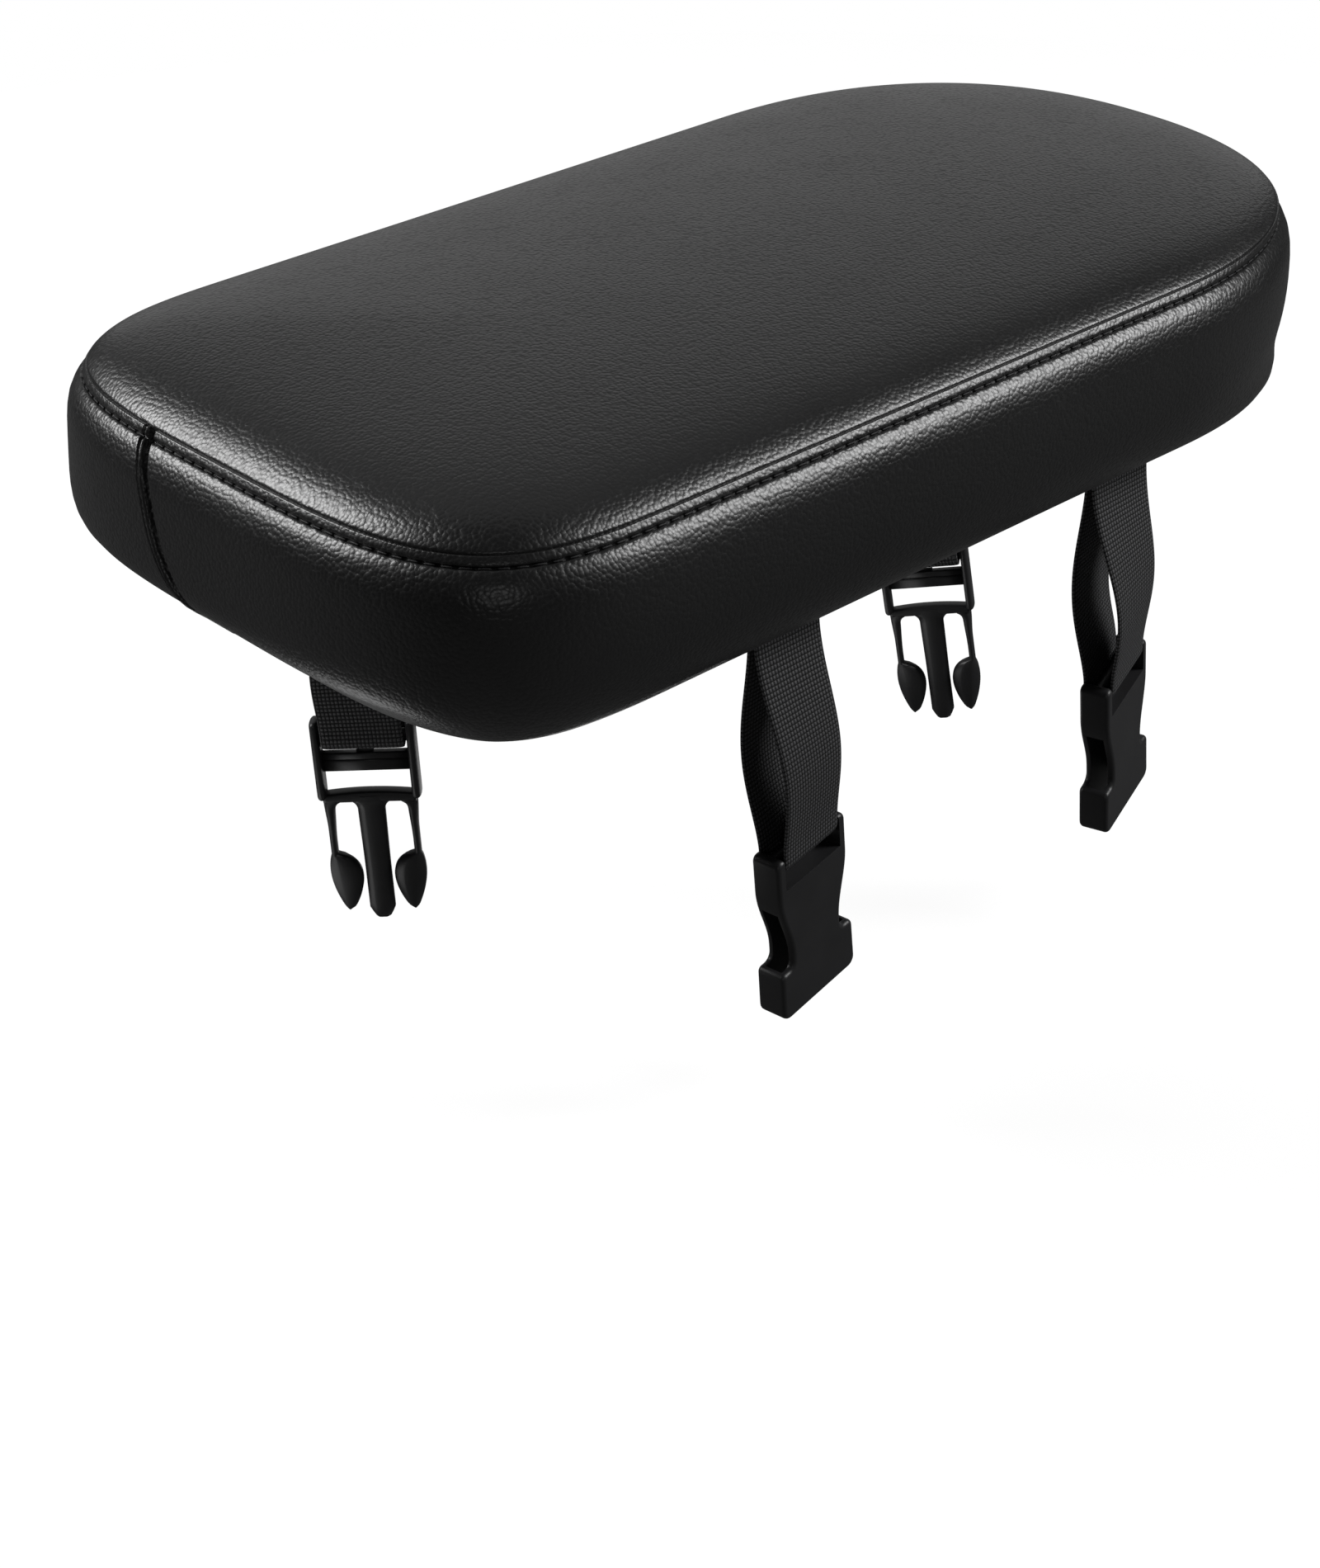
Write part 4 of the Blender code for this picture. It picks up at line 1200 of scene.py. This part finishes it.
def make_camera():
    """Camera at the photograph's angle: azimuth and elevation round the cushion, a small roll, and its place
    moved to the left and down so that the picture is framed as the photograph is."""
    azimuth, elevation, roll = (math.radians(x) for x in (-42.22, 31.67, 0.96))
    distance, aside, below = 0.74119, 0.02156, 0.07945
    back = Vector((
        math.sin(azimuth) * math.cos(elevation),
        -math.cos(azimuth) * math.cos(elevation),
        math.sin(elevation),
    ))
    right = Vector((math.cos(azimuth), math.sin(azimuth), 0))
    up = back.cross(right)
    data = bpy.data.cameras.new("camera")
    data.lens = 69.98
    data.sensor_width = 36
    data.clip_start, data.clip_end = 0.01, 50
    camera = add_object("camera", data)
    place = back * distance - right * aside - up * below
    turned_right = right * math.cos(roll) - up * math.sin(roll)
    turned_up = right * math.sin(roll) + up * math.cos(roll)
    axes = Matrix((turned_right, turned_up, back)).transposed()
    camera.matrix_world = Matrix.Translation(place) @ axes.to_4x4()
    bpy.context.scene.camera = camera


@once
def floor_finish(finish):
    """Pale floor: plain diffuse for the light it gives, and mostly white for the camera, so that it keeps a
    soft shadow of the object."""
    seen = finish.node("ShaderNodeLightPath", {}, {}, "Is Camera Ray")
    pale = finish.tint(seen, (1, 1, 1), 0.12, 0.80)
    finish.feed({"Base Color": pale, "Roughness": 0.9, "Specular IOR Level": 0.0})
    white = finish.node("ShaderNodeEmission", {}, {"Color": (1, 1, 1, 1), "Strength": 1.23})
    plain = Wire(finish, finish.shader.outputs[0])
    mix = finish.node("ShaderNodeMixShader", {}, {0: seen * 0.70, 1: plain, 2: white})
    out = finish.tree.nodes["Material Output"]
    finish.tree.links.new(mix.socket, out.inputs["Surface"])
    return finish.material


def make_world():
    """Dim room for the object and white for the camera."""
    world = bpy.data.worlds.new("studio")
    bpy.context.scene.world = world
    world.use_nodes = True
    tree = world.node_tree
    tree.nodes.clear()
    kinds = ("LightPath", "Background", "Background", "MixShader", "OutputWorld")
    path, room, seen, mix, out = (tree.nodes.new("ShaderNode" + kind) for kind in kinds)
    for background, strength in ((room, studio().fill), (seen, 1.0)):
        background.inputs["Color"].default_value = (1, 1, 1, 1)
        background.inputs["Strength"].default_value = strength
    tree.links.new(path.outputs["Is Camera Ray"], mix.inputs[0])
    tree.links.new(room.outputs[0], mix.inputs[1])
    tree.links.new(seen.outputs[0], mix.inputs[2])
    tree.links.new(mix.outputs[0], out.inputs["Surface"])


def build_stage():
    """Round floor, the lamps by direction, distance, size and brightness, the room and the camera."""
    sizes = studio()
    reach = 0.75
    turn = np.linspace(0, 2 * np.pi, 97)[:-1]
    mesh = bpy.data.meshes.new("floor")
    rim = np.column_stack([reach * np.cos(turn), reach * np.sin(turn), np.full(len(turn), sizes.floor)])
    mesh.from_pydata(rim.tolist(), [], [list(range(len(turn)))])
    mesh.materials.append(floor_finish())
    add_object("floor", mesh)
    lamp("key_softbox", (0.58, -0.60, 0.50), 1.1, 0.36, 0.56, sizes.key)
    lamp("back_softbox", (-0.54, 0.64, 0.52), 1.1, 0.36, 0.52, sizes.rim)
    lamp("back_card", (0.62, 0.68, 0.22), 1.6, 1.8, 1.0, sizes.card)
    lamp("overhead_panel", (0.30, 0.36, 0.88), 1.4, 1.2, 1.0, sizes.over)
    lamp("camera_fill", (-0.64, -0.70, 0.20), 1.2, 0.20, 0.20, sizes.front)
    for x, y in ((-0.096, 0.032), (0.101, 0.032)):
        spot = (x - 0.080, y + 0.022, sizes.floor + 2 * MM)
        low = lamp("low_fill", (0, 0, -1), 0, 0.09, 0.08, sizes.low, spot)
        low.visible_camera = False
    make_world()
    make_camera()
    bpy.context.scene.view_settings.view_transform = "Standard"


# Operators

def build_cover():
    foam = build_foam()
    top = build_top()
    side = build_band()
    stitches = build_stitches()


def build_loops():
    for name in STRAPS:
        build_webbing(name)


def build_buckles():
    for number in (1, 2):
        build_female(number)
        build_male(number)


def operator(name, label, description, *builds):
    """An operator class that runs build functions."""
    def execute(self, context):
        for build in builds:
            build()
        return {"FINISHED"}

    return type("CUSHION_OT_" + name, (bpy.types.Operator,), {
        "bl_idname": "cushion." + name,
        "bl_label": label,
        "bl_description": description,
        "bl_options": {"REGISTER", "UNDO"},
        "execute": execute,
    })


STEPS = (
    operator(
        "cover", "Cover and foam", "Build the top and side covers, their stitches and the foam", build_cover
    ),
    operator(
        "underside", "Underside", "Build the cloth under the board and finish the board and its rivets",
        build_underside, dress_hidden,
    ),
    operator("webbing", "Webbing loops", "Build the four webbing loops", build_loops),
    operator(
        "buckles", "Buckle halves", "Build the two female and the two male buckle halves", build_buckles
    ),
    operator("stage", "Stage", "Build the floor, the lamps, the room and the camera", build_stage),
)
GROUPS = {
    "cushion_cover": CoverSizes,
    "cushion_straps": StrapSizes,
    "cushion_colours": Colours,
    "cushion_stage": StageSizes,
}


class CUSHION_PT_panel(bpy.types.Panel):
    """Sizes, colours and build steps of the rack cushion"""

    bl_label = "Rack Cushion"
    bl_idname = "CUSHION_PT_panel"
    bl_space_type = "VIEW_3D"
    bl_region_type = "UI"
    bl_category = "Rack Cushion"

    def draw(self, context):
        for step in STEPS:
            self.layout.operator(step.bl_idname)
        for name, group in GROUPS.items():
            box = self.layout.box()
            for entry in group.__annotations__:
                box.prop(getattr(context.scene, name), entry)


def register():
    for group in GROUPS.values():
        bpy.utils.register_class(group)
    for step in STEPS:
        bpy.utils.register_class(step)
    bpy.utils.register_class(CUSHION_PT_panel)
    for name, group in GROUPS.items():
        setattr(bpy.types.Scene, name, bpy.props.PointerProperty(type=group))


def unregister():
    for name in GROUPS:
        delattr(bpy.types.Scene, name)
    bpy.utils.unregister_class(CUSHION_PT_panel)
    for step in reversed(STEPS):
        bpy.utils.unregister_class(step)
    for group in reversed(list(GROUPS.values())):
        bpy.utils.unregister_class(group)


def main():
    register()
    bpy.ops.cushion.cover()
    bpy.ops.cushion.underside()
    bpy.ops.cushion.webbing()
    bpy.ops.cushion.buckles()
    bpy.ops.cushion.stage()


if __name__ == "__main__":
    main()
